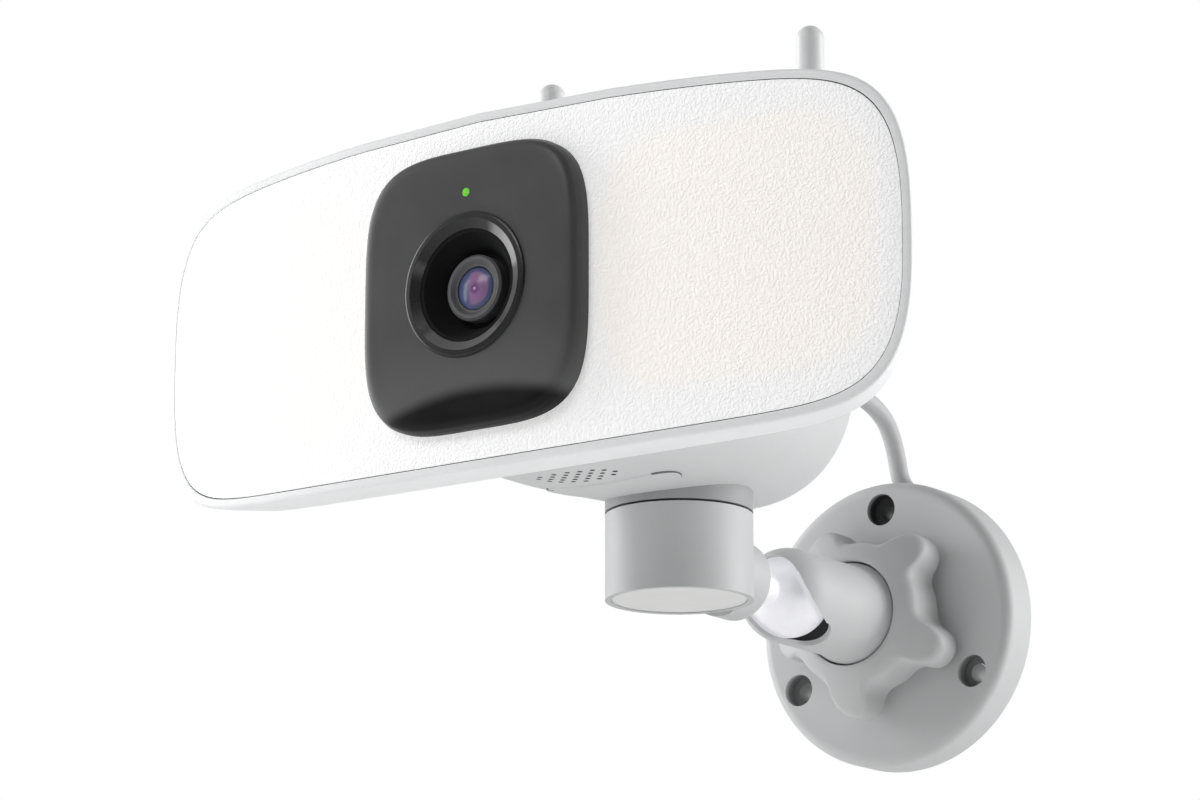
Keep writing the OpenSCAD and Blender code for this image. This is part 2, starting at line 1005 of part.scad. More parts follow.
module antenna_bases() {
    color(white)
        for (side = [-1, 1])
            at_antenna(side, 0)
                difference() {
                    union() {
                        translate([0, 0, antenna_low])
                            cylinder(r = 3.45, h = antenna_hinge_z - antenna_foot - antenna_low);
                        for (ear = [-1, 1])
                            translate([
                                ear * (ear_gap + ear_t) / 2 - ear_t / 2,
                                -2.6,
                                antenna_hinge_z - antenna_foot - 0.5
                            ])
                                cube([ear_t, 5.2, antenna_foot + 0.5]);
                        for (ear = [-1, 1])
                            translate([ear * (ear_gap + ear_t) / 2 - ear_t / 2, 0, antenna_hinge_z])
                                rotate([0, 90, 0])
                                    cylinder(r = 2.6, h = ear_t);
                    }
                    translate([-6, 0, antenna_hinge_z])
                        rotate([0, 90, 0])
                            cylinder(r = 0.82, h = 12);
                }
}

module antenna(side) {
    r = antenna_d / 2;
    color(white)
        at_antenna(side, 0)
            difference() {
                union() {
                    translate([0, 0, antenna_hinge_z + 3.4])
                        rotate_extrude()
                            intersection() {
                                union() {
                                    square([r, antenna_top - antenna_hinge_z - 3.4 - r]);
                                    translate([0, antenna_top - antenna_hinge_z - 3.4 - r])
                                        circle(r);
                                }
                                square([r, 80]);
                            }
                    translate([-ear_gap / 2 + 0.15, -2.4, antenna_hinge_z])
                        cube([ear_gap - part_gap, 4.8, 5]);
                    translate([-ear_gap / 2 + 0.15, 0, antenna_hinge_z])
                        rotate([0, 90, 0])
                            cylinder(r = 2.4, h = ear_gap - part_gap);
                }
                translate([-6, 0, antenna_hinge_z])
                    rotate([0, 90, 0])
                        cylinder(r = 0.85, h = 12);
            }
}

module antenna_left() {
    antenna(-1);
}

module antenna_right() {
    antenna(1);
}

module antenna_pins() {
    color(steel)
        for (side = [-1, 1])
            at_antenna(side, antenna_hinge_z)
                rotate([0, 90, 0])
                    translate([0, 0, -3.1])
                        cylinder(r = 0.8, h = 6.2);
}

module strain_relief() {
    color(white)
        difference() {
            facing(0, 0, 59)
                rotate_extrude()
                    polygon([
                        [0, 58], [3.2, 58], [3.9, 70], [4.3, 73], [6, 73.3], [6, pod_back - 0.05],
                        [4.5, pod_back - 0.05], [4.5, 82], [0, 82]
                    ]);
            facing(50, 0, 59)
                cylinder(r = lead_d / 2 + 0.1, h = 40);
        }
}

module housing_screws() {
    color(steel)
        for (p = housing_screw_places)
            facing(pod_back + 0.3, p[0], panel_z + p[1])
                difference() {
                    union() {
                        cylinder(r = 2.8, h = 2);
                        cylinder(r = 1.55, h = 9);
                    }
                    translate([0, 0, -1])
                        cylinder(r = 1.2, h = 2, $fn = 6);
                }
}

frame_screw_places = [[-61.2, -16], [61.2, -16], [-61.2, 16], [61.2, 16]];

module frame_screws() {
    color(steel)
        for (p = frame_screw_places)
            translate([p[0], -front_depth + sag(p[0]), panel_z + p[1]])
                rotate([-90, 0, 0])
                    difference() {
                        union() {
                            translate([0, 0, shell_back - 1])
                                cylinder(r = 2.3, h = 1.2);
                            translate([0, 0, board_behind + 3])
                                cylinder(r = 1.15, h = shell_back - board_behind - 3.9);
                        }
                        translate([0, 0, shell_back - 0.5])
                            cylinder(r = 1, h = 2, $fn = 6);
                    }
}

// ---------- power lead ----------

function unit(v) = v / norm(v);

// Direction of the route at one of its points
function heading(i) =
    unit(lead_path[min(i + 1, len(lead_path) - 1)] - lead_path[max(i - 1, 0)]);

// One round section of the lead, square to the route
function lead_ring(i) =
    let (t = heading(i), side = unit(cross(t, [1, 0, 0])), up = cross(side, t))
    [
        for (k = [0 : lead_sides - 1])
            let (a = 360 * k / lead_sides)
            lead_path[i] + lead_d / 2 * (cos(a) * up + sin(a) * side)
    ];

module power_lead() {
    n = len(lead_path);
    color(white)
        polyhedron(
            [for (i = [0 : n - 1]) each lead_ring(i)],
            concat(
                [[for (k = [0 : lead_sides - 1]) k]],
                [
                    for (i = [0 : n - 2], k = [0 : lead_sides - 1])
                        let (j = (k + 1) % lead_sides, a = i * lead_sides, b = a + lead_sides)
                        each [[a + k, b + k, b + j], [a + k, b + j, a + j]]
                ],
                [[for (k = [lead_sides - 1 : -1 : 0]) (n - 1) * lead_sides + k]]
            )
        );
}

wall_plate();
wall_gasket();
lead_grommet();
lead_connector();
power_lead();
star_knob();
socket_sleeve();
ball_seat();
seat_spring();
clamp_pusher();
pivot_ball();
ball_stem();
stem_nut();
arm_elbow();
post_cap();
pan_washer();
pan_collar();
pan_bolt();
pan_spring();
pan_nut();
rear_housing();
back_cover();
front_frame();
diffuser();
diffuser_seal();
heat_sink();
led_boards();
led_chips();
led_reflectors();
camera_cover();
lens_trim();
lens_recess();
lens_barrel();
front_lens();
rear_lens();
lens_holder();
image_sensor();
sensor_board();
status_light();
main_board();
radio_shield();
speaker();
speaker_gasket();
service_flap();
reset_button();
card_slot();
antenna_bases();
antenna_left();
antenna_right();
antenna_pins();
strain_relief();
housing_screws();
frame_screws();
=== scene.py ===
import math

import bmesh
import bpy
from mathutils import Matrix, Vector
from mathutils.bvhtree import BVHTree


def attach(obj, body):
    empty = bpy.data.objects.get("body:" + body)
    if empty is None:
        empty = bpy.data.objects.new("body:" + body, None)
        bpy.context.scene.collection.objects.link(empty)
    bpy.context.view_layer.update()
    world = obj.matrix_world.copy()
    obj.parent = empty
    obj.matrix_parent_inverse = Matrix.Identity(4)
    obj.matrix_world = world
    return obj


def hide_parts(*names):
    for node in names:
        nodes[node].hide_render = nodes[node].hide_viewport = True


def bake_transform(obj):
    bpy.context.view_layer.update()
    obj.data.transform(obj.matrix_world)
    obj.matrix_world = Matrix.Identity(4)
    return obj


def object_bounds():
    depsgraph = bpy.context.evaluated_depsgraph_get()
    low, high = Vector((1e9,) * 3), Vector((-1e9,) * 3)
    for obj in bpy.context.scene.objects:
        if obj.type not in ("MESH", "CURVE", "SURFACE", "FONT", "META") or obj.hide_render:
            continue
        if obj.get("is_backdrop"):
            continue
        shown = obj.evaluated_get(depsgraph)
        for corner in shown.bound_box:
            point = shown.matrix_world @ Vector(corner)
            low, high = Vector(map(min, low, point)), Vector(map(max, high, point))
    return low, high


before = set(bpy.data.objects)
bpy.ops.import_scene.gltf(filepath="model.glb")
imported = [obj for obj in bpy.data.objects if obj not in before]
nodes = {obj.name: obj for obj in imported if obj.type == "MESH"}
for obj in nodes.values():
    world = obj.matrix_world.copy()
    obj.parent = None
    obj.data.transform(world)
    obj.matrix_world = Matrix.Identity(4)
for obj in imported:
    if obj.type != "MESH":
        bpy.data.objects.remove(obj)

cad_low, cad_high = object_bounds()

# Lengths are in millimetres unless a comment says otherwise
MM = 0.001
WELD = 1e-7  # metres: points nearer to each other than this are one
PANEL_Z = 50.6  # height of the panel's middle and of the lens
HOLE_CIRCLE = 30.15  # radius of the circle that the wall plate's screw holes lie on


# ---------------------------------------------------------------- camera

FORWARD = Vector((-0.5629, 0.7911, 0.2394)).normalized()

camera = bpy.data.objects.new("camera", bpy.data.cameras.new("camera"))
bpy.context.scene.collection.objects.link(camera)
camera.data.sensor_width = 36
camera.data.lens = 117
camera.location = Vector((518.2, -866.4, -186.15)) * MM
camera.rotation_mode = "QUATERNION"
camera.rotation_quaternion = (-FORWARD).to_track_quat("Z", "Y")
bpy.context.scene.camera = camera


# ---------------------------------------------------------------- mesh helpers

def new_object(name, verts, faces, sharp=32):
    """A smooth-shaded mesh object from points in millimetres."""
    mesh = bpy.data.meshes.new(name)
    mesh.from_pydata([Vector(v) * MM for v in verts], [], faces)
    mesh.validate()
    bm = bmesh.new()
    bm.from_mesh(mesh)
    bmesh.ops.remove_doubles(bm, verts=bm.verts, dist=WELD)
    bmesh.ops.dissolve_degenerate(bm, edges=bm.edges, dist=WELD)
    bmesh.ops.recalc_face_normals(bm, faces=bm.faces)
    bm.to_mesh(mesh)
    bm.free()
    for face in mesh.polygons:
        face.use_smooth = True
    mesh.set_sharp_from_angle(angle=math.radians(sharp))
    obj = bpy.data.objects.new(name, mesh)
    bpy.context.scene.collection.objects.link(obj)
    return obj


def bend(a, b, c, t):
    """A point on the curve that leaves a towards b and ends at c."""
    return a * (1 - t) ** 2 + b * 2 * t * (1 - t) + c * t * t


def rounded(points, steps=5):
    """A section's corners turned into small curves. Each point is (a, b, c, radius)."""
    most = 0.48  # the share of a side that one corner may take
    out = []
    for i, p in enumerate(points):
        here = Vector(p[:3])
        if p[3] <= 0 or i in (0, len(points) - 1):
            out.append(here)
            continue
        before, after = Vector(points[i - 1][:3]), Vector(points[i + 1][:3])
        reach_in = min(p[3], (before - here).length * most)
        reach_out = min(p[3], (after - here).length * most)
        start = here + (before - here).normalized() * reach_in
        end = here + (after - here).normalized() * reach_out
        for k in range(steps + 1):
            out.append(bend(start, here, end, k / steps))
    return out


def smooth_path(points, steps):
    """A curve through every point (Catmull-Rom)."""
    pts = [Vector(p) for p in points]
    out = []
    for i in range(len(pts) - 1):
        a = pts[i - 1] if i else pts[0] * 2 - pts[1]
        b, c = pts[i], pts[i + 1]
        d = pts[i + 2] if i + 2 < len(pts) else pts[-1] * 2 - pts[-2]
        for k in range(steps):
            t = k / steps
            out.append(0.5 * ((2 * b) + (c - a) * t + (2 * a - 5 * b + 4 * c - d) * t * t
                              + (3 * b - a - 3 * c + d) * t ** 3))
    out.append(pts[-1])
    return out


def outline(nx, nz, droop, w, h, quarter=40):
    """Unit points (s, v) round a superellipse, closer together where it turns."""
    fine = 2000  # steps in a quarter before the points are picked
    turn_weight, turn_limit = 1.1, 0.2
    dense = []
    for i in range(fine + 1):
        t = math.pi / 2 * i / fine
        s = math.cos(t) ** (2 / nx) if i < fine else 0.0
        v = math.sin(t) ** (2 / nz) if i else 0.0
        dense.append((s, v * (1 - droop * s * s)))
    cost = [0.0]
    lengths, turns = [], []
    for i in range(fine):
        dx = (dense[i + 1][0] - dense[i][0]) * w
        dz = (dense[i + 1][1] - dense[i][1]) * h
        lengths.append(math.hypot(dx, dz))
        turns.append(math.atan2(dz, dx))
    total = sum(lengths)
    for i in range(fine):
        turn = abs(turns[i] - turns[i - 1]) if i else 0.0
        share = turn_weight * min(turn, turn_limit) / (math.pi / 2)
        cost.append(cost[-1] + lengths[i] / total + share)
    picks, j = [], 0
    for k in range(quarter + 1):
        want = cost[-1] * k / quarter
        while j < fine and cost[j] < want - 1e-12:
            j += 1
        picks.append(dense[j])
    loop = picks[:-1]
    loop += [(-s, v) for s, v in reversed(picks[1:])]
    loop += [(-s, -v) for s, v in picks[:-1]]
    loop += [(s, -v) for s, v in reversed(picks[1:])]
    return loop


def loft(rings, close_section=False, cap_first=False, cap_last=False):
    """Quads between rings of the same length; caps are strips between the two halves."""
    n = len(rings[0])
    verts = [p for ring in rings for p in ring]
    faces = []
    count = len(rings)
    for r in range(count if close_section else count - 1):
        a, b = r * n, ((r + 1) % count) * n
        for i in range(n):
            j = (i + 1) % n
            faces.append((a + i, a + j, b + j, b + i))
    for wanted, base in ((cap_first, 0), (cap_last, (count - 1) * n)):
        if not wanted:
            continue
        for i in range(n // 2):
            quad = [base + i, base + i + 1, base + n - i - 1, base + (n - i) % n]
            faces.append(tuple(dict.fromkeys(quad)))
    return verts, faces


def cutter(name, prisms):
    """One mesh of closed prisms. Each is (outline points, extrusion vector)."""
    verts, faces = [], []
    for base, push in prisms:
        start, n = len(verts), len(base)
        verts += [Vector(p) for p in base] + [Vector(p) + Vector(push) for p in base]
        faces.append(tuple(range(start, start + n)))
        faces.append(tuple(range(start + 2 * n - 1, start + n - 1, -1)))
        for i in range(n):
            j = (i + 1) % n
            faces.append((start + i, start + j, start + n + j, start + n + i))
    return new_object(name, verts, faces, 20)


def disc(centre, radius, axis, sides=32):
    """Points round a circle square to the axis letter."""
    out = []
    for k in range(sides):
        a = 2 * math.pi * k / sides
        u, v = radius * math.cos(a), radius * math.sin(a)
        offset = {"x": (0, u, v), "y": (u, 0, v), "z": (u, v, 0)}[axis]
        out.append(Vector(centre) + Vector(offset))
    return out


def corners(x, z):
    return [(a * x, b * z) for a in (-1, 1) for b in (-1, 1)]


def carve(obj, tool, inside=None):
    """Cuts tool's prisms out of obj and keeps obj's own smooth normals on what is left.

    The cut faces get the material inside, or obj's own.
    """
    inward, alike = 0.02, 0.9
    tool.data.materials.append(inside or obj.data.materials[0])
    source = obj.data.copy()
    source.calc_loop_triangles()
    tree = BVHTree.FromPolygons([v.co for v in source.vertices],
                                [tuple(p.vertices) for p in source.polygons])
    cut = obj.modifiers.new("cut", "BOOLEAN")
    cut.object, cut.operation, cut.solver = tool, "DIFFERENCE", "EXACT"
    cut.material_mode = "TRANSFER"
    graph = bpy.context.evaluated_depsgraph_get()
    made = bpy.data.meshes.new_from_object(obj.evaluated_get(graph))
    obj.modifiers.clear()
    obj.data = made
    bpy.data.objects.remove(tool)
    corner_normals = [c.vector.copy() for c in source.corner_normals]
    normals = [Vector((0, 0, 0))] * len(made.loops)
    for face in made.polygons:
        face.use_smooth = True
        for li in face.loop_indices:
            point = made.vertices[made.loops[li].vertex_index].co
            # look for the old surface a little inside this face's own corner
            _, _, index, _ = tree.find_nearest(point.lerp(face.center, inward))
            chosen = face.normal.copy()
            if index is not None:
                old = source.polygons[index]
                blend = Vector((0, 0, 0))
                for oi in old.loop_indices:
                    gap = (source.vertices[source.loops[oi].vertex_index].co - point).length
                    blend += corner_normals[oi] / (gap + 1e-6) ** 2
                blend.normalize()
                if blend.dot(face.normal) > alike:
                    chosen = blend
            normals[li] = chosen
    made.normals_split_custom_set(normals)
    return obj


# ---------------------------------------------------------------- materials

class Nodes:
    """Builds one node material in a few words."""

    def __init__(self, name):
        self.material = bpy.data.materials.new(name)
        self.material.use_nodes = True
        self.tree = self.material.node_tree
        self.shader = self.tree.nodes["Principled BSDF"]
        coords = self.tree.nodes.new("ShaderNodeTexCoord")
        self.place = coords.outputs["Object"]

    def link(self, a, b):
        self.tree.links.new(a, b)

    def noise(self, size_mm, detail=3, rough=0.5, distortion=0.0, squeeze=(1, 1, 1),
              shift=(0, 0, 0)):
        node = self.tree.nodes.new("ShaderNodeTexNoise")
        node.inputs["Scale"].default_value = 1000 / size_mm
        node.inputs["Detail"].default_value = detail
        node.inputs["Roughness"].default_value = rough
        node.inputs["Distortion"].default_value = distortion
        if squeeze != (1, 1, 1) or shift != (0, 0, 0):
            mapping = self.tree.nodes.new("ShaderNodeMapping")
            mapping.inputs["Scale"].default_value = squeeze
            mapping.inputs["Location"].default_value = Vector(shift) * MM
            self.link(self.place, mapping.inputs["Vector"])
            self.link(mapping.outputs["Vector"], node.inputs["Vector"])
        else:
            self.link(self.place, node.inputs["Vector"])
        return node.outputs["Fac"]

    def ramp(self, source, stops):
        node = self.tree.nodes.new("ShaderNodeValToRGB")
        node.color_ramp.elements[0].position = stops[0][0]
        node.color_ramp.elements[0].color = (*stops[0][1], 1)
        node.color_ramp.elements[1].position = stops[-1][0]
        node.color_ramp.elements[1].color = (*stops[-1][1], 1)
        for place, colour in stops[1:-1]:
            element = node.color_ramp.elements.new(place)
            element.color = (*colour, 1)
        self.link(source, node.inputs["Fac"])
        return node.outputs["Color"]

    def span(self, source, low, high, out_low, out_high, smooth=False):
        node = self.tree.nodes.new("ShaderNodeMapRange")
        if smooth:
            node.interpolation_type = "SMOOTHSTEP"
        for key, value in (("From Min", low), ("From Max", high),
                           ("To Min", out_low), ("To Max", out_high)):
            node.inputs[key].default_value = value
        self.link(source, node.inputs["Value"])
        return node.outputs["Result"]

    def math(self, operation, a, b=None):
        node = self.tree.nodes.new("ShaderNodeMath")
        node.operation = operation
        for i, value in enumerate((a, b)):
            if value is None:
                continue
            if isinstance(value, (int, float)):
                node.inputs[i].default_value = value
            else:
                self.link(value, node.inputs[i])
        return node.outputs["Value"]

    def axis(self, letter):
        node = self.tree.nodes.new("ShaderNodeSeparateXYZ")
        self.link(self.place, node.inputs["Vector"])
        return node.outputs[letter]

    def length(self, across, up):
        squares = [self.math("MULTIPLY", part, part) for part in (across, up)]
        return self.math("SQRT", self.math("ADD", *squares))

    def around(self, x_mm, z_mm):
        """Offsets across and up from a point in the front view, and the distance from it."""
        across = self.math("SUBTRACT", self.axis("X"), x_mm * MM)
        up = self.math("SUBTRACT", self.axis("Z"), z_mm * MM)
        return across, up, self.length(across, up)

    def bump(self, height, depth_mm, strength=1.0, under=None):
        node = self.tree.nodes.new("ShaderNodeBump")
        node.inputs["Strength"].default_value = strength
        node.inputs["Distance"].default_value = depth_mm * MM
        self.link(height, node.inputs["Height"])
        if under is not None:
            self.link(under, node.inputs["Normal"])
        return node.outputs["Normal"]

    def mix(self, share, a, b):
        node = self.tree.nodes.new("ShaderNodeMix")
        node.data_type = "RGBA"
        for value, key in ((a, "A"), (b, "B")):
            socket = [s for s in node.inputs if s.name == key and s.type == "RGBA"][0]
            if isinstance(value, tuple):
                socket.default_value = (*value, 1)
            else:
                self.link(value, socket)
        share_socket = [s for s in node.inputs if s.name == "Factor" and s.type == "VALUE"][0]
        if isinstance(share, (int, float)):
            share_socket.default_value = share
        else:
            self.link(share, share_socket)
        return [s for s in node.outputs if s.type == "RGBA"][0]

    def finish(self, colour=None, rough=None, normal=None, **constants):
        sockets = self.shader.inputs
        if colour is not None:
            self.link(colour, sockets["Base Color"])
        if rough is not None:
            self.link(rough, sockets["Roughness"])
        if normal is not None:
            self.link(normal, sockets["Normal"])
        for key, value in constants.items():
            sockets[key.replace("_", " ")].default_value = value
        return self.material


def plastic(name, colour, rough, grain_mm, grain_depth, tone, **constants):
    """Moulded plastic: spark-eroded grain, faint flow tone and uneven gloss."""
    m = Nodes(name)
    low = tuple(c * (1 - tone) for c in colour)
    high = tuple(min(1, c * (1 + tone)) for c in colour)
    flow = m.noise(26, 3, 0.55, 0.4)
    base = m.ramp(flow, [(0.35, low), (0.65, high)])
    grain = m.noise(grain_mm, 2, 0.6)
    waves = m.noise(9, 2, 0.5)
    normal = m.bump(grain, grain_depth, 0.6)
    normal = m.bump(waves, 0.03, 0.25, normal)
    gloss = m.span(m.noise(14, 4, 0.6), 0.3, 0.7, rough - 0.05, rough + 0.06)
    return m.finish(base, gloss, normal, **constants)


def glowing(material, colour, strength):
    """Gives a material a faint light of its own, for the light that a white room returns."""
    sockets = material.node_tree.nodes["Principled BSDF"].inputs
    sockets["Emission Color"].default_value = (*colour, 1)
    sockets["Emission Strength"].default_value = strength
    return material


white = plastic("white_shell", (0.75, 0.755, 0.76), 0.44, 0.3, 0.01, 0.012)
# the arm's white, darker than the shell's: painted shade under the head
arm_painted_shade = plastic("arm_painted_shade", (0.62, 0.625, 0.63), 0.5, 0.34, 0.014, 0.015)
white_cap = plastic("white_cap", (0.88, 0.88, 0.875), 0.5, 0.5, 0.012, 0.02)
# the aerials' white, lighter than the shell's: painted light from above
aerials_painted_light = plastic("aerials_painted_light", (0.90, 0.905, 0.91), 0.44, 0.3, 0.01, 0.012)
# the collar's white, much darker than the shell's: painted shade under the housing
collar_painted_shade = plastic("collar_painted_shade", (0.40, 0.405, 0.41), 0.55, 0.34, 0.014, 0.02)
# the frame's white, lighter than the shell's and glowing: painted light on the bezel
frame_painted_light = glowing(plastic("frame_painted_light", (0.88, 0.885, 0.89), 0.44, 0.3, 0.01, 0.012),
                      (0.97, 0.98, 1.0), 0.13)
shade = plastic("white_in_shade", (0.16, 0.162, 0.165), 0.7, 0.34, 0.014, 0.05)
jacket = plastic("lead_jacket", (0.60, 0.605, 0.61), 0.5, 0.8, 0.02, 0.03)
black_plastic = plastic("black_plastic", (0.012, 0.012, 0.013), 0.62, 0.28, 0.03, 0.2)
rubber = plastic("dark_rubber", (0.035, 0.035, 0.036), 0.75, 0.4, 0.03, 0.2)


def plate_material():
    """The wall plate's plastic, with the shade that lies in its three screw holes."""
    m = Nodes("white_plate")
    y = m.axis("Y")
    base = m.ramp(m.noise(26, 3, 0.55, 0.4), [(0.35, (0.66, 0.665, 0.67)),
                                              (0.65, (0.68, 0.685, 0.69))])
    # each hole's angle and shade, and where the daylight that comes through it starts
    bright = 0.0
    for angle, dark, start in ((90, 0.94, None), (210, 0.66, 0.0012), (330, 0.66, 0.0004)):
        turn = math.radians(angle)
        across, _, reach = m.around(HOLE_CIRCLE * math.cos(turn), HOLE_CIRCLE * math.sin(turn))
        inside = m.span(reach, 0.00424, 0.00432, 1.0, 0.0)
        below = m.span(y, -0.0112, -0.0092, 0.0, dark, True)
        base = m.mix(m.math("MULTIPLY", inside, below), base, (0.01, 0.01, 0.01))
        if start is not None:
            bore = m.math("MULTIPLY", m.span(reach, 0.00236, 0.00242, 1.0, 0.0),
                          m.span(y, -0.0078, -0.0074, 0.0, 1.0))
            crescent = m.math("MULTIPLY", bore, m.span(across, start, start + 0.0004, 0.0, 1.0))
            bright = m.math("ADD", crescent, bright)
    base = m.mix(bright, base, (0.9, 0.9, 0.9))
    m.link(m.mix(bright, (0, 0, 0), (1, 1, 1)), m.shader.inputs["Emission Color"])
    m.shader.inputs["Emission Strength"].default_value = 0.6
    normal = m.bump(m.noise(0.34, 2, 0.6), 0.014, 0.6)
    normal = m.bump(m.noise(9, 2, 0.5), 0.03, 0.25, normal)
    gloss = m.span(m.noise(14, 4, 0.6), 0.3, 0.7, 0.46, 0.56)
    return m.finish(base, gloss, normal)


def diffuser_material():
    """The lit panel: a grained skin, a little warmer over each light engine."""
    m = Nodes("panel_diffuser")
    x, z = m.axis("X"), m.axis("Z")
    # the reach of each light engine behind the panel: a soft rounded box at either side
    across = m.math("SUBTRACT", m.math("ABSOLUTE", x), 0.0655)
    dx = m.math("MAXIMUM", m.math("SUBTRACT", m.math("ABSOLUTE", across), 0.015), 0.0)
    up = m.math("ABSOLUTE", m.math("SUBTRACT", z, 0.0508))
    dz = m.math("MAXIMUM", m.math("SUBTRACT", up, 0.0125), 0.0)
    glow = m.span(m.length(dx, dz), 0.0145, 0.0195, 1.0, 0.0, True)
    tint = m.mix(glow, (0.86, 0.865, 0.868), (0.885, 0.842, 0.80))
    flow = m.noise(30, 2, 0.5)
    tint = m.mix(m.span(flow, 0.35, 0.65, 0.0, 0.25), tint, (0.84, 0.84, 0.84))
    # the skin's grain: each worm has a lit side and a shaded side
    worms = m.noise(0.62, 1, 0.4, 0.6)
    beside = m.noise(0.62, 1, 0.4, 0.6, shift=(0.13, 0, -0.11))
    relief = m.math("SUBTRACT", m.span(worms, 0.40, 0.56, 0.0, 1.0, True),
                    m.span(beside, 0.40, 0.56, 0.0, 1.0, True))
    dark_side = m.span(relief, 0.0, 0.8, 0.0, 0.46)
    light_side = m.span(relief, -0.8, 0.0, 0.6, 0.0)
    normal = m.bump(worms, 0.18, 1.0)
    tint = m.mix(dark_side, tint, (0.45, 0.44, 0.43))
    gloss = m.span(worms, 0.35, 0.65, 0.5, 0.62)
    material = m.finish(tint, gloss, normal)
    m.shader.inputs["Emission Strength"].default_value = 0.52
    lit = m.mix(glow, (0.77, 0.775, 0.77), (0.82, 0.785, 0.75))
    lit = m.mix(light_side, lit, (1.0, 0.98, 0.96))
    m.link(m.mix(dark_side, lit, (0.3, 0.29, 0.28)), m.shader.inputs["Emission Color"])
    return material


def cover_material():
    """The camera cover's satin black, with a painted dark reflection along its lower edge and a
    painted sheen above it.
    """
    m = Nodes("dark_cover")
    flow = m.noise(22, 3, 0.5)
    base = m.ramp(flow, [(0.3, (0.088, 0.088, 0.09)), (0.7, (0.098, 0.098, 0.10))])
    # height above the line where the painted dark reflection ends, which bows up at both sides
    off = m.math("SUBTRACT", m.axis("X"), 0.003)
    lift = m.math("ADD", m.axis("Z"), m.math("MULTIPLY", m.math("MULTIPLY", off, off), 6.2))
    # painted sheen: lighter just above the line, fading upwards
    painted_sheen = m.span(lift, 0.027, 0.046, 0.5, 0.0, True)
    base = m.mix(painted_sheen, base, (0.17, 0.17, 0.172))
    # painted dark reflection: near black below the line, where the edge turns down
    painted_dark_reflection = m.span(lift, 0.0240, 0.0280, 1.0, 0.0, True)
    base = m.mix(painted_dark_reflection, base, (0.004, 0.004, 0.0042))
    grain = m.noise(0.22, 2, 0.6)
    normal = m.bump(grain, 0.006, 0.6)
    gloss = m.span(m.noise(11, 4, 0.6), 0.3, 0.7, 0.33, 0.41)
    return m.finish(base, gloss, normal, Specular_IOR_Level=0.22)


def lathe_material(name, colour, rough, pitch_mm, depth_mm):
    """Moulded part with fine rings round the optical axis."""
    m = Nodes(name)
    radius = m.around(0, PANEL_Z)[2]
    rings = m.math("SINE", m.math("MULTIPLY", radius, 2 * math.pi / (pitch_mm * MM)))
    low = tuple(c * 0.85 for c in colour)
    base = m.ramp(m.noise(4, 3), [(0.3, low), (0.7, colour)])
    normal = m.bump(rings, depth_mm, 0.6)
    normal = m.bump(m.noise(0.25, 2), 0.008, 0.5, normal)
    gloss = m.span(m.noise(3, 3), 0.3, 0.7, rough - 0.05, rough + 0.05)
    return m.finish(base, gloss, normal)


def trim_material():
    """The ring round the lens: dark gloss, with painted highlights on its inner chamfer."""
    m = Nodes("lens_trim")
    across, up, radius = m.around(0, PANEL_Z)
    turn = m.math("ARCTAN2", up, across)
    chamfer = m.span(radius, 0.01525, 0.01535, 1.0, 0.0)
    base = m.ramp(m.noise(6, 3), [(0.3, (0.026, 0.026, 0.027)), (0.7, (0.031, 0.031, 0.032))])
    # each painted highlight's first and last angle in radians, and its tone
    for start, end, tone in ((0.10, 1.15, 0.30), (-2.45, -0.72, 0.13), (2.55, 2.95, 0.11)):
        rise = m.span(turn, start, start + 0.16, 0.0, 1.0, True)
        fall = m.span(turn, end - 0.25, end, 1.0, 0.0, True)
        share = m.math("MULTIPLY", m.math("MULTIPLY", rise, fall), chamfer)
        base = m.mix(share, base, (tone, tone, tone * 1.01))
    normal = m.bump(m.noise(0.25, 2, 0.6), 0.005, 0.5)
    gloss = m.span(m.noise(5, 3), 0.3, 0.7, 0.26, 0.34)
    return m.finish(base, gloss, normal, Specular_IOR_Level=0.35)


def lens_material():
    """Coated front glass: the coating's reflections painted as violet and blue bands, over a
    dark pupil with a painted highlight.
    """
    m = Nodes("coated_glass")
    across, _, radius = m.around(0, PANEL_Z)
    bands = m.ramp(m.math("MULTIPLY", radius, 1 / 0.0051), [
        (0.0, (0.36, 0.17, 0.38)), (0.5, (0.38, 0.20, 0.40)), (0.72, (0.34, 0.20, 0.38)),
        (0.80, (0.13, 0.12, 0.30)), (0.90, (0.10, 0.13, 0.26)), (0.97, (0.02, 0.03, 0.05))])
    # painted reflection: the coating's blue on the left side
    side = m.span(across, -0.0020, -0.0006, 1.0, 0.0, True)
    colour = m.mix(side, bands, (0.10, 0.12, 0.27))
    pupil = m.around(0.4, PANEL_Z - 0.3)[2]
    colour = m.mix(m.span(pupil, 0.0010, 0.0014, 0.5, 0.0, True), colour, (0.16, 0.05, 0.20))
    # painted highlight: a small bright dot in the pupil
    colour = m.mix(m.span(pupil, 0.00025, 0.0004, 1.0, 0.0, True), colour, (0.75, 0.55, 0.85))
    smear = m.noise(3, 3)
    colour = m.mix(m.span(smear, 0.4, 0.7, 0.0, 0.2), colour, (0.10, 0.13, 0.20))
    gloss = m.span(m.noise(1.2, 3), 0.3, 0.7, 0.20, 0.26)
    return m.finish(colour, gloss, None, Coat_Weight=0.1, Coat_Roughness=0.12,
                    Specular_IOR_Level=0.25)


def steel_material(name, colour, rough, scratch):
    """Metal with fine scratches and shallow dents. Also used for cast aluminium."""
    m = Nodes(name)
    base = m.ramp(m.noise(5, 4), [(0.3, tuple(c * 0.93 for c in colour)), (0.7, colour)])
    lines = m.noise(0.5, 3, 0.6, 0, (1, 1, 0.06))
    dents = m.noise(3.2, 3, 0.55, 0.8)
    normal = m.bump(lines, scratch, 0.4)
    normal = m.bump(dents, scratch * 4, 0.5, normal)
    gloss = m.span(m.noise(2, 4), 0.3, 0.7, rough * 0.7, rough * 1.4)
    return m.finish(base, gloss, normal, Metallic=1.0)


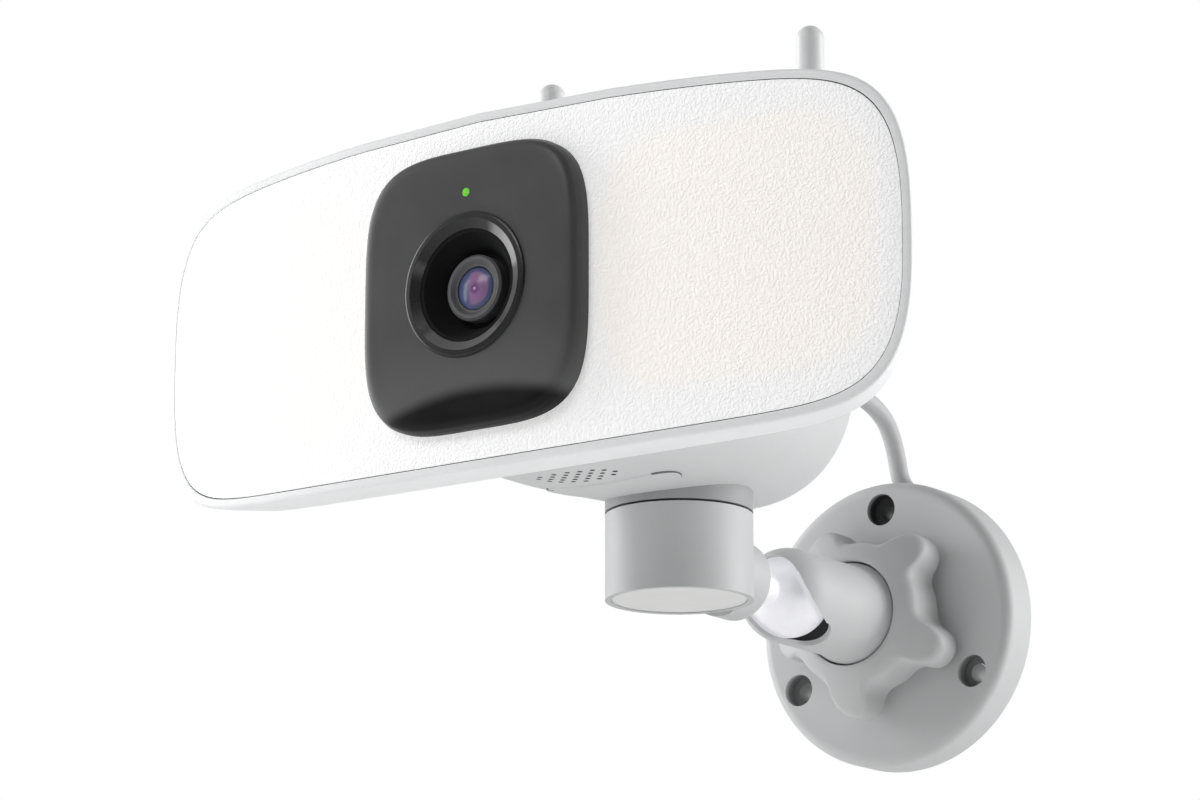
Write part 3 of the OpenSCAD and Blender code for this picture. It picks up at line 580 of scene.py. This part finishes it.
def board_material(name, colour, track):
    """Solder mask with copper tracks showing through."""
    m = Nodes(name)
    cells = m.tree.nodes.new("ShaderNodeTexVoronoi")
    cells.distance = "MANHATTAN"
    cells.feature = "F2"
    cells.inputs["Scale"].default_value = 260
    m.link(m.place, cells.inputs["Vector"])
    lines = m.span(cells.outputs["Distance"], 0.62, 0.70, 0.0, 1.0)
    base = m.mix(lines, colour, track)
    normal = m.bump(lines, 0.03, 0.5)
    gloss = m.span(m.noise(6, 3), 0.3, 0.7, 0.3, 0.42)
    return m.finish(base, gloss, normal)


def phosphor_material():
    m = Nodes("led_phosphor")
    base = m.ramp(m.noise(0.4, 3), [(0.3, (0.86, 0.62, 0.12)), (0.7, (0.95, 0.78, 0.25))])
    gloss = m.span(m.noise(0.8, 2), 0.3, 0.7, 0.35, 0.5)
    return m.finish(base, gloss, m.bump(m.noise(0.3), 0.02))


def status_material():
    m = Nodes("status_green")
    base = m.ramp(m.noise(0.9, 2), [(0.3, (0.10, 0.45, 0.03)), (0.7, (0.16, 0.56, 0.05))])
    material = m.finish(base, m.span(m.noise(0.6), 0.3, 0.7, 0.25, 0.35))
    m.link(base, m.shader.inputs["Emission Color"])
    m.shader.inputs["Emission Strength"].default_value = 0.55
    return material


plate_mat = plate_material()
diffuser_mat = diffuser_material()
cover_mat = cover_material()
trim_mat = trim_material()
barrel_mat = lathe_material("lens_barrel", (0.14, 0.14, 0.145), 0.42, 0.5, 0.02)
recess_mat = plastic("matte_black", (0.007, 0.007, 0.0075), 0.85, 0.3, 0.05, 0.3,
                     Specular_IOR_Level=0.25)
glass_mat = lens_material()
# this steel glows: painted light, for the bright room that the ball reflects
bright_steel = glowing(steel_material("bright_steel", (0.62, 0.62, 0.645), 0.42, 0.01),
                       (0.93, 0.93, 0.97), 0.42)
zinc_steel = steel_material("zinc_steel", (0.62, 0.63, 0.65), 0.28, 0.012)
aluminium = steel_material("cast_aluminium", (0.72, 0.73, 0.74), 0.42, 0.03)
green_board = board_material("circuit_board", (0.02, 0.10, 0.04), (0.05, 0.20, 0.09))
white_board = board_material("board_white", (0.72, 0.72, 0.70), (0.62, 0.62, 0.60))
phosphor = phosphor_material()
silicon = plastic("silicon", (0.05, 0.05, 0.08), 0.15, 0.2, 0.003, 0.2)
status_mat = status_material()

finishes = {
    plate_mat: ["wall_plate"],
    white: ["star_knob", "rear_housing", "back_cover",
            "service_flap", "antenna_bases", "strain_relief"],
    aerials_painted_light: ["antenna_left", "antenna_right"],
    arm_painted_shade: ["socket_sleeve", "arm_elbow"],
    collar_painted_shade: ["pan_collar"],
    frame_painted_light: ["front_frame"],
    white_cap: ["post_cap"],
    diffuser_mat: ["diffuser"],
    cover_mat: ["camera_cover"],
    trim_mat: ["lens_trim"],
    recess_mat: ["lens_recess"],
    barrel_mat: ["lens_barrel"],
    glass_mat: ["front_lens", "rear_lens"],
    black_plastic: ["lens_holder", "speaker", "reset_button", "lead_connector", "ball_seat",
                    "clamp_pusher"],
    rubber: ["wall_gasket", "diffuser_seal", "pan_washer", "speaker_gasket"],
    bright_steel: ["pivot_ball", "ball_stem", "card_slot"],
    zinc_steel: ["seat_spring", "stem_nut", "pan_bolt", "pan_spring", "pan_nut",
                 "antenna_pins", "radio_shield", "housing_screws", "frame_screws"],
    aluminium: ["heat_sink"],
    green_board: ["main_board", "sensor_board"],
    white_board: ["led_boards", "led_reflectors"],
    phosphor: ["led_chips"],
    silicon: ["image_sensor"],
    status_mat: ["status_light"],
    jacket: ["power_lead", "lead_grommet"],
}
for material, names in finishes.items():
    for name in names:
        for place in nodes[name].material_slots:
            place.material = material


# ---------------------------------------------------------------- power lead

LEAD_R, LEAD_SIDES = 2.4, 24
OVERLAP = 0.6  # how far a stretch runs on past its own ends
# points of the lead's middle, from the housing's back to the plug in the wall plate
LEAD = [
    (0, -77, 59), (0, -68, 59), (0, -58, 59), (0.1, -49, 59.1), (0.3, -41, 59.1),
    (0.6, -33, 59), (1, -26, 58.7), (1.3, -20, 57.7), (1.5, -15, 56), (1.7, -11, 53.4),
    (1.7, -8.2, 50), (1.7, -6.4, 46.4), (1.8, -5.3, 42.8), (2.1, -4.8, 39.8),
    (3.1, -4.6, 37.4), (4.8, -4.5, 35.2), (6.6, -4.5, 33.1), (8.1, -4.5, 30.7),
    (9, -4.5, 28), (9.2, -4.5, 25),
]


def lead_rings():
    path = smooth_path(LEAD, 8)
    rings = []
    for i, p in enumerate(path):
        ahead = (path[min(i + 1, len(path) - 1)] - path[max(i - 1, 0)]).normalized()
        side = ahead.cross(Vector((1, 0, 0))).normalized()
        top = side.cross(ahead)
        turns = [2 * math.pi * k / LEAD_SIDES for k in range(LEAD_SIDES)]
        rings.append([p + LEAD_R * (math.cos(a) * top + math.sin(a) * side) for a in turns])
    return path, rings


path, rings = lead_rings()
# Each stretch crosses one joint. A row gives its name, the joint's two bodies, the stretch's
# far and near ends, and where it starts and stops going over from one body to the other.
stretches = [
    ("lead_head", "arm", "head", -77.1, -50.0, -52.0, -71.0),
    ("lead_arm", "ball", "arm", -50.0, -38.0, -39.0, -49.0),
    ("lead_ball", "socket", "ball", -38.0, -27.5, -28.5, -37.0),
    ("lead_wall", "wall_base", "socket", -27.5, 0.0, -8.5, -27.0),
]
for name, first, second, y_far, y_near, start, end in stretches:
    picked = [i for i, p in enumerate(path) if y_far - OVERLAP <= p.y <= y_near + OVERLAP]
    low, high = picked[0], picked[-1]
    piece = new_object(name, *loft(rings[low:high + 1], False, True, True), 40)
    piece.data.materials.append(jacket)
    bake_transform(piece)
    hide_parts("power_lead")


# ---------------------------------------------------------------- panel shell

BOW = 381.8  # radius that the panel is bowed to
FRONT = 186.3  # depth of the diffuser's face in the middle
HALF_W, HALF_H = 103.9, 39.95


def sag(x):
    """How far the bowed panel lies back at x."""
    return BOW - math.sqrt(BOW * BOW - x * x)


QUARTER = 56  # steps in a quarter of the panel's and the cover's outline
panel_unit = outline(13.2, 2.79, 0.0964, HALF_W, HALF_H, QUARTER)


def panel_ring(dw, dh, behind):
    """The panel's outline, grown by dw and dh, a distance behind its face."""
    w, h = HALF_W + dw, HALF_H + dh
    return [(w * s, -FRONT + behind + sag(w * s), PANEL_Z + h * v) for s, v in panel_unit]


def shell(name, section, material, node):
    """A section of (dw, dh, behind) swept round the panel's outline."""
    piece = new_object(name, *loft([panel_ring(*p) for p in section], True))
    piece.data.materials.append(material)
    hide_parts(node)
    return piece


frame_section = rounded([
    (-1.5, -1.5, 2.6, 0), (0, 0, 2.6, 0.15), (0, 0, 0, 0.22), (2.2, 2.2, 0, 1.35),
    (-0.2, 2.0, 5, 2.2), (-5, 1.3, 13, 0.25), (-7.6, -1.2, 13, 0.2), (-4.4, -1.2, 7, 0.5),
    (-3, -1.2, 4, 0.2), (-3, -3, 4, 0.2), (-3, -3, 2.6, 0.2), (-1.8, -1.8, 2.6, 0),
])
bezel = shell("frame_shell", frame_section, frame_painted_light, "front_frame")
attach(bezel, "head")

back_section = rounded([
    (-6.6, -0.2, 13.05, 0), (-5, 1.3, 13.05, 0.3), (-6.6, 0.6, 14.6, 1.5),
    (-12, -3.4, 18, 3), (-18, -7.4, 20.2, 3), (-24, -11, 21, 3), (-40, -14, 21, 0),
    (-67.9, -16.95, 21, 0.2), (-67.9, -16.95, 19.2, 0.2), (-24, -11.4, 19.2, 2),
    (-15, -6.6, 17, 2), (-9, -1.9, 13.8, 0.5), (-8, -1.2, 13.05, 0),
])
cover_back = shell("back_shell", back_section, white, "back_cover")
carve(cover_back, cutter("cut_back", [
    (disc((x, -FRONT + sag(x) + 19.95, PANEL_Z + z), 2.5, "y", 40), (0, 6, 0))
    for x, z in corners(61.2, 16)]))
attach(cover_back, "head")

# diffuser: a bowed sheet with an opening under the camera cover
OPEN_W, OPEN_H = 29.9, 32.4
SHEET_GAP, SHEET_ROUND = 0.3, 0.18
cover_unit = outline(4, 4, 0, OPEN_W, OPEN_H, QUARTER)


def sheet_ring(share, behind, inset=0.0):
    """A ring of the sheet: share 0 is its outer edge and 1 the edge of the opening."""
    ring = []
    for (s, v), (cs, cv) in zip(panel_unit, cover_unit):
        x_out = (HALF_W - SHEET_GAP - inset) * s
        z_out = (HALF_H - SHEET_GAP - inset) * v
        x_in, z_in = OPEN_W * cs, OPEN_H * cv
        x, z = x_out + (x_in - x_out) * share, z_out + (z_in - z_out) * share
        ring.append((x, -FRONT + behind + sag(x), PANEL_Z + z))
    return ring


sheet_rings = [sheet_ring(0, 1.9, -0.02), sheet_ring(0, 0.25, -0.02),
               sheet_ring(0, 0.07, 0.02), sheet_ring(0, 0, SHEET_ROUND)]
sheet_rings += [sheet_ring(k / 16, 0, SHEET_ROUND * (1 - k / 16)) for k in range(1, 17)]
sheet_rings += [sheet_ring(1 - k / 8, 2.0) for k in range(0, 9)]
sheet = new_object("diffuser_sheet", *loft(sheet_rings, True), 40)
sheet.data.materials.append(diffuser_mat)
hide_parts("diffuser")
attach(sheet, "head")

# the dark seam between the sheet and its frame
seam = new_object("seal_ring", *loft([sheet_ring(0, 1.9, -0.25), sheet_ring(0, 0.45, -0.25),
                                      sheet_ring(0, 0.45, -0.04), sheet_ring(0, 1.9, -0.04)],
                                     True), 40)
seam.data.materials.append(rubber)
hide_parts("diffuser_seal")
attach(seam, "head")


# ---------------------------------------------------------------- camera cover

COVER_HOLE = 15.7  # radius of the round opening for the lens
COVER_EDGE = (16.5, 18)  # half width and height of the first ring outside it


def cover_ring(w, h, depth, round_share=0.0):
    """A ring of the cover, drawn towards the lens opening by a share from 0 to 1."""
    ring = []
    for s, v in cover_unit:
        x, z = w * s, h * v
        if round_share:
            reach = math.hypot(x, z)
            x += (x / reach * COVER_HOLE - x) * round_share
            z += (z / reach * COVER_HOLE - z) * round_share
        ring.append((x, -depth, PANEL_Z + z))
    return ring


profile = smooth_path([
    (16.5, 18.0, 190.9), (21.0, 22.3, 190.88), (25.1, 26.6, 190.78), (28.3, 30.5, 190.6),
    (29.8, 32.2, 189.8), (30.5, 33.0, 187.9),
], 6)
cover_rings = [cover_ring(*COVER_EDGE, 190.9, 1.0), cover_ring(*COVER_EDGE, 190.9, 0.5)]
cover_rings += [cover_ring(*p) for p in profile]
cover_rings += [cover_ring(30.5, 33.0, 185.3), cover_ring(28.3, 30.6, 185.3),
                cover_ring(28.0, 30.2, 186.6), cover_ring(22.0, 24.0, 188.6),
                cover_ring(*COVER_EDGE, 188.8, 0.5), cover_ring(*COVER_EDGE, 188.8, 1.0)]
cover = new_object("cover_shell", *loft(cover_rings, True), 40)
cover.data.materials.append(cover_mat)
# the status light's hole
carve(cover, cutter("cut_cover", [(disc((0, -192, 72.4), 1.05, "y", 40), (0, 5, 0))]))
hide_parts("camera_cover")
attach(cover, "head")


# ---------------------------------------------------------------- rear housing

POD_W, POD_H, POD_POWER = 47, 36.7, 2.35  # half width and height, and how square they are
POD_FRONT, POD_BACK = 165.2, 76
DOME, DOME_POWER = 60, 1.4  # length and roundness of the domed back
DOME_W, DOME_H = 0.68, 0.87  # the dome's flat end, as shares of the width and height
SHELL = 5  # wall of the housing at its sides
pod_unit = outline(POD_POWER, POD_POWER, 0, POD_W, POD_H, 40)


def dome_shares(share):
    return DOME_W + (1 - DOME_W) * share, DOME_H + (1 - DOME_H) * share


def pod_ring(w, h, depth, bow=0.0):
    return [(w * s, -depth + bow * sag(w * s), PANEL_Z + h * v) for s, v in pod_unit]


def pod_skin(inset, back):
    """Rings of the housing's outside or, with an inset, of its inside."""
    w, h = POD_W - inset, POD_H - inset
    rings = [pod_ring(w, h, POD_FRONT, 1.0), pod_ring(w, h, POD_FRONT - 14, 0.6)]
    for k in range(25):
        angle = math.pi / 2 * k / 24
        t = math.sin(angle) ** (2 / DOME_POWER)
        wide, high = dome_shares(max(0.0, math.cos(angle)) ** (2 / DOME_POWER))
        rings.append(pod_ring(w * wide, h * high, back + DOME * (1 - t)))
    rings.append(pod_ring(w * 0.4, h * 0.5, back))
    return rings


outer, inner = pod_skin(0, POD_BACK), pod_skin(SHELL, POD_BACK + 4)
verts_out, faces_out = loft(outer, False, False, True)
verts_in, faces_in = loft(inner, False, False, True)
n, base = len(pod_unit), len(verts_out)
rim = [(i, (i + 1) % n, base + (i + 1) % n, base + i) for i in range(n)]
pod = new_object("housing_shell", verts_out + verts_in,
                 faces_out + [tuple(base + i for i in f) for f in faces_in] + rim)
pod.data.materials.append(white)


FLAP_DEPTH = 132  # where the service flap's middle is
FLAP_SIDE = 12.4  # half the straight part of its outline
POCKET_R = 6.75  # radius of the rounded ends of the pocket that it lies in


def stadium(z):
    """Points round the pocket of the service flap."""
    points = []
    for side, turn in ((1, -90), (-1, 90)):
        for k in range(25):
            a = math.radians(turn + 180 * k / 24)
            points.append((side * FLAP_SIDE + POCKET_R * math.cos(a),
                           -FLAP_DEPTH + POCKET_R * math.sin(a), z))
    return points


prisms = [(stadium(6), (0, 0, 10.5))]
# the speaker's holes, in slanted rows
for row, holes in enumerate((2, 4, 5, 5, 5, 4, 2)):
    for k in range(holes):
        step = k - (holes - 1) / 2
        centre = ((row - 3) * 2.93 - step * 1.84, -147.5 + (row - 3) * 0.92 + step * 1.94, 8)
        prisms.append((disc(centre, 0.65, "z", 20), (0, 0, 14)))
# reset button, card slot, lead, screws and antennas
prisms.append((disc((7, -FLAP_DEPTH, 12), 1.9, "z", 28), (0, 0, 9)))
prisms.append(([(-13, -133.8, 12), (0, -133.8, 12), (0, -130.2, 12), (-13, -130.2, 12)],
               (0, 0, 9)))
prisms.append((disc((0, -86, 59), 4.6, "y", 48), (0, 14, 0)))
for x, z in corners(20, 17):
    prisms.append((disc((x, -78.4, PANEL_Z + z), 3.1, "y", 36), (0, 5, 0)))
for x in (-38.8, 38.8):
    prisms.append((disc((x, -104.6, 56.9), 3.5, "z", 40), (0, 0, 30)))
carve(pod, cutter("cut_pod", prisms), shade)
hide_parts("rear_housing")
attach(pod, "head")


# ---------------------------------------------------------------- service flap

FLAP_R, HINGE_GAP = 6.45, 0.9
FLAP_TOP, FLAP_DROP = 16.35, 0.4
FLAP_END = 0.001  # keeps the end sections from closing to nothing


def pod_low(x, depth):
    """Height of the housing's underside."""
    t = min(1, max(0, 1 - (depth - POD_BACK) / DOME))
    wide, high = dome_shares((1 - t ** DOME_POWER) ** (1 / DOME_POWER))
    across = abs(x) / (POD_W * wide)
    return PANEL_Z - POD_H * high * (1 - across ** POD_POWER) ** (1 / POD_POWER)


def flap_ring(x):
    """One section of the flap. Its hinge end stands a little away from the pocket's wall."""
    r = FLAP_R if x < 0 else FLAP_R - HINGE_GAP * min(1, x / FLAP_SIDE) ** 2
    half = math.sqrt(max(0.01, r ** 2 - max(0, abs(x) - FLAP_SIDE) ** 2))
    edge = min(0.3, half * 0.4)
    lower = [(half - edge) * (k / 4 - 1) for k in range(9)]
    low = [(x, -FLAP_DEPTH + y, pod_low(x, FLAP_DEPTH - y) - FLAP_DROP) for y in lower]
    ends = [(x, -FLAP_DEPTH + y, pod_low(x, FLAP_DEPTH - y) - FLAP_DROP + edge)
            for y in (-half, half)]
    top = [(x, -FLAP_DEPTH + y, FLAP_TOP) for y in (-half, half)]
    return [top[0], ends[0], *low, ends[1], top[1]]


quarter_turn = [math.cos(math.pi / 2 * k / 16) for k in range(17)]
stations = [-FLAP_SIDE - (FLAP_R - FLAP_END) * c for c in quarter_turn]
stations += [FLAP_SIDE * (k / 10 - 1) for k in range(1, 20)]
stations += [FLAP_SIDE + (FLAP_R - HINGE_GAP - FLAP_END) * c for c in reversed(quarter_turn)]
flap_verts = [p for x in stations for p in flap_ring(x)]
side = len(flap_ring(0))
flap_faces = []
for i in range(len(stations) - 1):
    for k in range(side):
        m = (k + 1) % side
        a, b = i * side, (i + 1) * side
        flap_faces.append((a + k, a + m, b + m, b + k))
last = len(flap_verts) - 1
flap_faces += [tuple(range(side)), tuple(range(last, last - side, -1))]
flap = new_object("flap_body", flap_verts, flap_faces, 40)
flap.data.materials.append(white)
flap.data.materials.append(shade)
# the hinge end lies in shade
for face in flap.data.polygons:
    if face.normal.x > 0.3 and abs(face.normal.z) < 0.7:
        face.material_index = 1
# a small notch for a fingernail
notch = [Vector((-16.5, -138.2, 13)) + Vector((a * 0.82 - b * 0.57, a * 0.57 + b * 0.82, 0))
         for a, b in ((0, 0), (2.6, 0), (2.6, 1), (0, 1))]
carve(flap, cutter("cut_flap", [(notch, (0, 0, 2.6))]), shade)
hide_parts("service_flap")
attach(flap, "flap")


# ---------------------------------------------------------------- ball socket

# the slot's way out of the sleeve, and the way across it
SLOT_TURN = math.radians(-62)
ALONG = Vector((math.cos(SLOT_TURN), 0, math.sin(SLOT_TURN)))
ACROSS = Vector((-ALONG.z, 0, ALONG.x))
# (half width, depth) where the slot opens out towards the mouth, and of its narrow part
MOUTH, KNEE, WAIST = Vector((9.2, 65)), Vector((7.4, 60)), Vector((4.85, 54))
SLOT_END = 53.85
edge_line = [(MOUTH.x, 76), tuple(MOUTH)]
edge_line += [tuple(bend(MOUTH, KNEE, WAIST, k / 8)) for k in range(1, 9)]
half_turn = [math.pi * k / 16 for k in range(1, 16)]
end_arc = [(WAIST.x * math.cos(a), SLOT_END - WAIST.x * math.sin(a)) for a in half_turn]
slot_line = edge_line + end_arc + [(-w, depth) for w, depth in reversed(edge_line)]
sleeve = bpy.data.objects.new("sleeve_body", nodes["socket_sleeve"].data.copy())
bpy.context.scene.collection.objects.link(sleeve)
sleeve.matrix_world = nodes["socket_sleeve"].matrix_world.copy()
carve(sleeve, cutter("cut_sleeve", [
    ([ACROSS * w + Vector((0, -depth, 0)) for w, depth in slot_line], ALONG * 14)]))
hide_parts("socket_sleeve")
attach(sleeve, "socket")


# ---------------------------------------------------------------- star knob

LOBE_TURN, PHASE = 72, 46.2  # degrees between the five lobes, and to the first of them
TIP, LOBE_R, FILLET, CORE = 26.0, 5.3, 5.0, 18.8
KNOB_BACK, BACK_ROUND, FRONT_EASE = 14.4, 1.4, 2.3
HUB_R = 14.6
lobe_c = TIP - LOBE_R
reach = CORE + FILLET
fillet_x = (reach ** 2 - (LOBE_R + FILLET) ** 2 + lobe_c ** 2) / (2 * lobe_c)
fillet_y = math.sqrt(reach ** 2 - fillet_x ** 2)


def ray_circle(angle, cx, cy, r, far):
    """Distance from the axis to a circle along an angle, its far or near side."""
    along = cx * math.cos(angle) + cy * math.sin(angle)
    across = cx * math.sin(angle) - cy * math.cos(angle)
    if abs(across) > r:
        return None
    half = math.sqrt(r * r - across * across)
    return along + half if far else along - half


def knob_radius(angle):
    """The star's radius at an angle from the nearest lobe's middle."""
    a = abs(angle)
    touch = math.atan2(fillet_y * LOBE_R / (LOBE_R + FILLET),
                       lobe_c + (fillet_x - lobe_c) * LOBE_R / (LOBE_R + FILLET))
    leave = math.atan2(fillet_y, fillet_x)
    if a <= touch:
        return ray_circle(a, lobe_c, 0, LOBE_R, True)
    if a <= leave:
        found = ray_circle(a, fillet_x, fillet_y, FILLET, False)
        return found if found else CORE
    return CORE


def knob_top(r):
    """The knob's front surface: its depth at a radius."""
    stops = [(13.5, 28.9), (14.6, 28.86), (15.8, 28.45), (17.5, 27.7), (19.5, 26.65),
             (21.5, 25.3), (23.4, 24.05), (26.2, 22.6)]
    for (r0, d0), (r1, d1) in zip(stops, stops[1:]):
        if r <= r1:
            return d0 + (d1 - d0) * max(0, r - r0) / (r1 - r0)
    return stops[-1][1]


def knob_section(angle):
    """Points (radius, depth) round one section of the knob."""
    r_edge = knob_radius(angle)
    wall_top, flat = knob_top(r_edge) - FRONT_EASE, r_edge - FRONT_EASE
    points = [(16.6, KNOB_BACK), (r_edge - BACK_ROUND, KNOB_BACK)]
    low = (Vector((r_edge - BACK_ROUND, KNOB_BACK)), Vector((r_edge, KNOB_BACK)),
           Vector((r_edge, KNOB_BACK + BACK_ROUND)))
    high = (Vector((r_edge, wall_top)), Vector((r_edge, knob_top(r_edge))),
            Vector((flat, knob_top(flat))))
    points += [tuple(bend(*low, k / 6)) for k in range(1, 7)]
    points.append((r_edge, wall_top))
    points += [tuple(bend(*high, k / 6)) for k in range(1, 7)]
    for k in range(1, 9):
        r = flat + (HUB_R - flat) * k / 8
        points.append((r, knob_top(r)))
    points += [(14.0, 28.9), (13.62, 28.82), (13.5, 28.6), (13.5, 22.8), (16.6, 22.8)]
    return points


ROUND = 300  # sections round the knob
knob_verts, knob_faces = [], []
for i in range(ROUND):
    turn = 360 * i / ROUND
    local = math.radians((turn - PHASE + LOBE_TURN / 2) % LOBE_TURN - LOBE_TURN / 2)
    for r, depth in knob_section(local):
        a = math.radians(turn)
        knob_verts.append((r * math.cos(a), -depth, r * math.sin(a)))
rows = len(knob_section(0))
for i in range(ROUND):
    for k in range(rows):
        a, b = i * rows, ((i + 1) % ROUND) * rows
        m = (k + 1) % rows
        knob_faces.append((a + k, a + m, b + m, b + k))
knob = new_object("knob_body", knob_verts, knob_faces, 50)
knob.data.materials.append(arm_painted_shade)
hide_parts("star_knob")
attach(knob, "lock_knob")


# ---------------------------------------------------------------- floor and light

floor_mesh = bpy.data.meshes.new("floor")
half, drop = 6, cad_low.z - 0.3
floor_mesh.from_pydata([(-half, -half, drop), (half, -half, drop), (half, half, drop),
                        (-half, half, drop)], [], [(0, 1, 2, 3)])
floor = bpy.data.objects.new("floor", floor_mesh)
bpy.context.scene.collection.objects.link(floor)
fm = Nodes("floor_paint")
fm.finish(fm.ramp(fm.noise(180, 3), [(0.3, (0.84, 0.84, 0.84)), (0.7, (0.86, 0.86, 0.86))]),
          fm.span(fm.noise(60, 3), 0.3, 0.7, 0.75, 0.85), None)
# seen from below, the floor lets the light and the camera through
back = fm.tree.nodes.new("ShaderNodeNewGeometry")
clear = fm.tree.nodes.new("ShaderNodeBsdfTransparent")
pick = fm.tree.nodes.new("ShaderNodeMixShader")
fm.link(back.outputs["Backfacing"], pick.inputs["Fac"])
fm.link(fm.shader.outputs["BSDF"], pick.inputs[1])
fm.link(clear.outputs["BSDF"], pick.inputs[2])
fm.link(pick.outputs["Shader"], fm.tree.nodes["Material Output"].inputs["Surface"])
floor_mesh.materials.append(fm.material)
floor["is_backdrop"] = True

scene = bpy.context.scene
scene.view_settings.view_transform = "Standard"
scene.view_settings.look = "None"

world = bpy.data.worlds.new("studio")
world.use_nodes = True
scene.world = world
wt = world.node_tree
# the sky that lights the part is dimmer in front of it; the camera sees plain white
background = wt.nodes["Background"]
coords = wt.nodes.new("ShaderNodeTexCoord")
facing = wt.nodes.new("ShaderNodeVectorMath")
facing.operation = "DOT_PRODUCT"
facing.inputs[1].default_value = (0.46, -0.88, -0.05)
wt.links.new(coords.outputs["Generated"], facing.inputs[0])
dim = wt.nodes.new("ShaderNodeMapRange")
dim.interpolation_type = "SMOOTHSTEP"
for key, value in (("From Min", -0.4), ("From Max", 0.7), ("To Min", 0.52), ("To Max", 0.02)):
    dim.inputs[key].default_value = value
wt.links.new(facing.outputs["Value"], dim.inputs["Value"])
wt.links.new(dim.outputs["Result"], background.inputs["Strength"])
white_sky = wt.nodes.new("ShaderNodeBackground")
white_sky.inputs["Strength"].default_value = 1.0
white_sky.inputs["Color"].default_value = (1, 1, 1, 1)
rays = wt.nodes.new("ShaderNodeLightPath")
choose = wt.nodes.new("ShaderNodeMixShader")
background.inputs["Color"].default_value = (1, 1, 1, 1)
wt.links.new(rays.outputs["Is Camera Ray"], choose.inputs["Fac"])
wt.links.new(background.outputs["Background"], choose.inputs[1])
wt.links.new(white_sky.outputs["Background"], choose.inputs[2])
wt.links.new(choose.outputs["Shader"], wt.nodes["World Output"].inputs["Surface"])


def softbox(name, direction, distance, width, height, power, target=(0, -0.1, 0.03)):
    """A rectangular light that faces a target. Lengths in metres, power in watts."""
    light = bpy.data.lights.new(name, "AREA")
    light.shape = "RECTANGLE"
    light.size, light.size_y, light.energy = width, height, power
    lamp = bpy.data.objects.new(name, light)
    scene.collection.objects.link(lamp)
    away = Vector(direction).normalized()
    lamp.location = Vector(target) + away * distance
    lamp.rotation_mode = "QUATERNION"
    lamp.rotation_quaternion = away.to_track_quat("Z", "Y")


softbox("light_left", (-0.95, -0.22, 0.25), 1.5, 1.2, 1.0, 14)
softbox("light_right", (0.77, 0.60, 0.22), 1.6, 0.8, 1.2, 17)
softbox("light_top", (-0.15, -0.82, 0.55), 1.6, 0.7, 0.5, 7, (0, -0.15, 0.08))


# ---------------------------------------------------------------- finish

low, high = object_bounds()
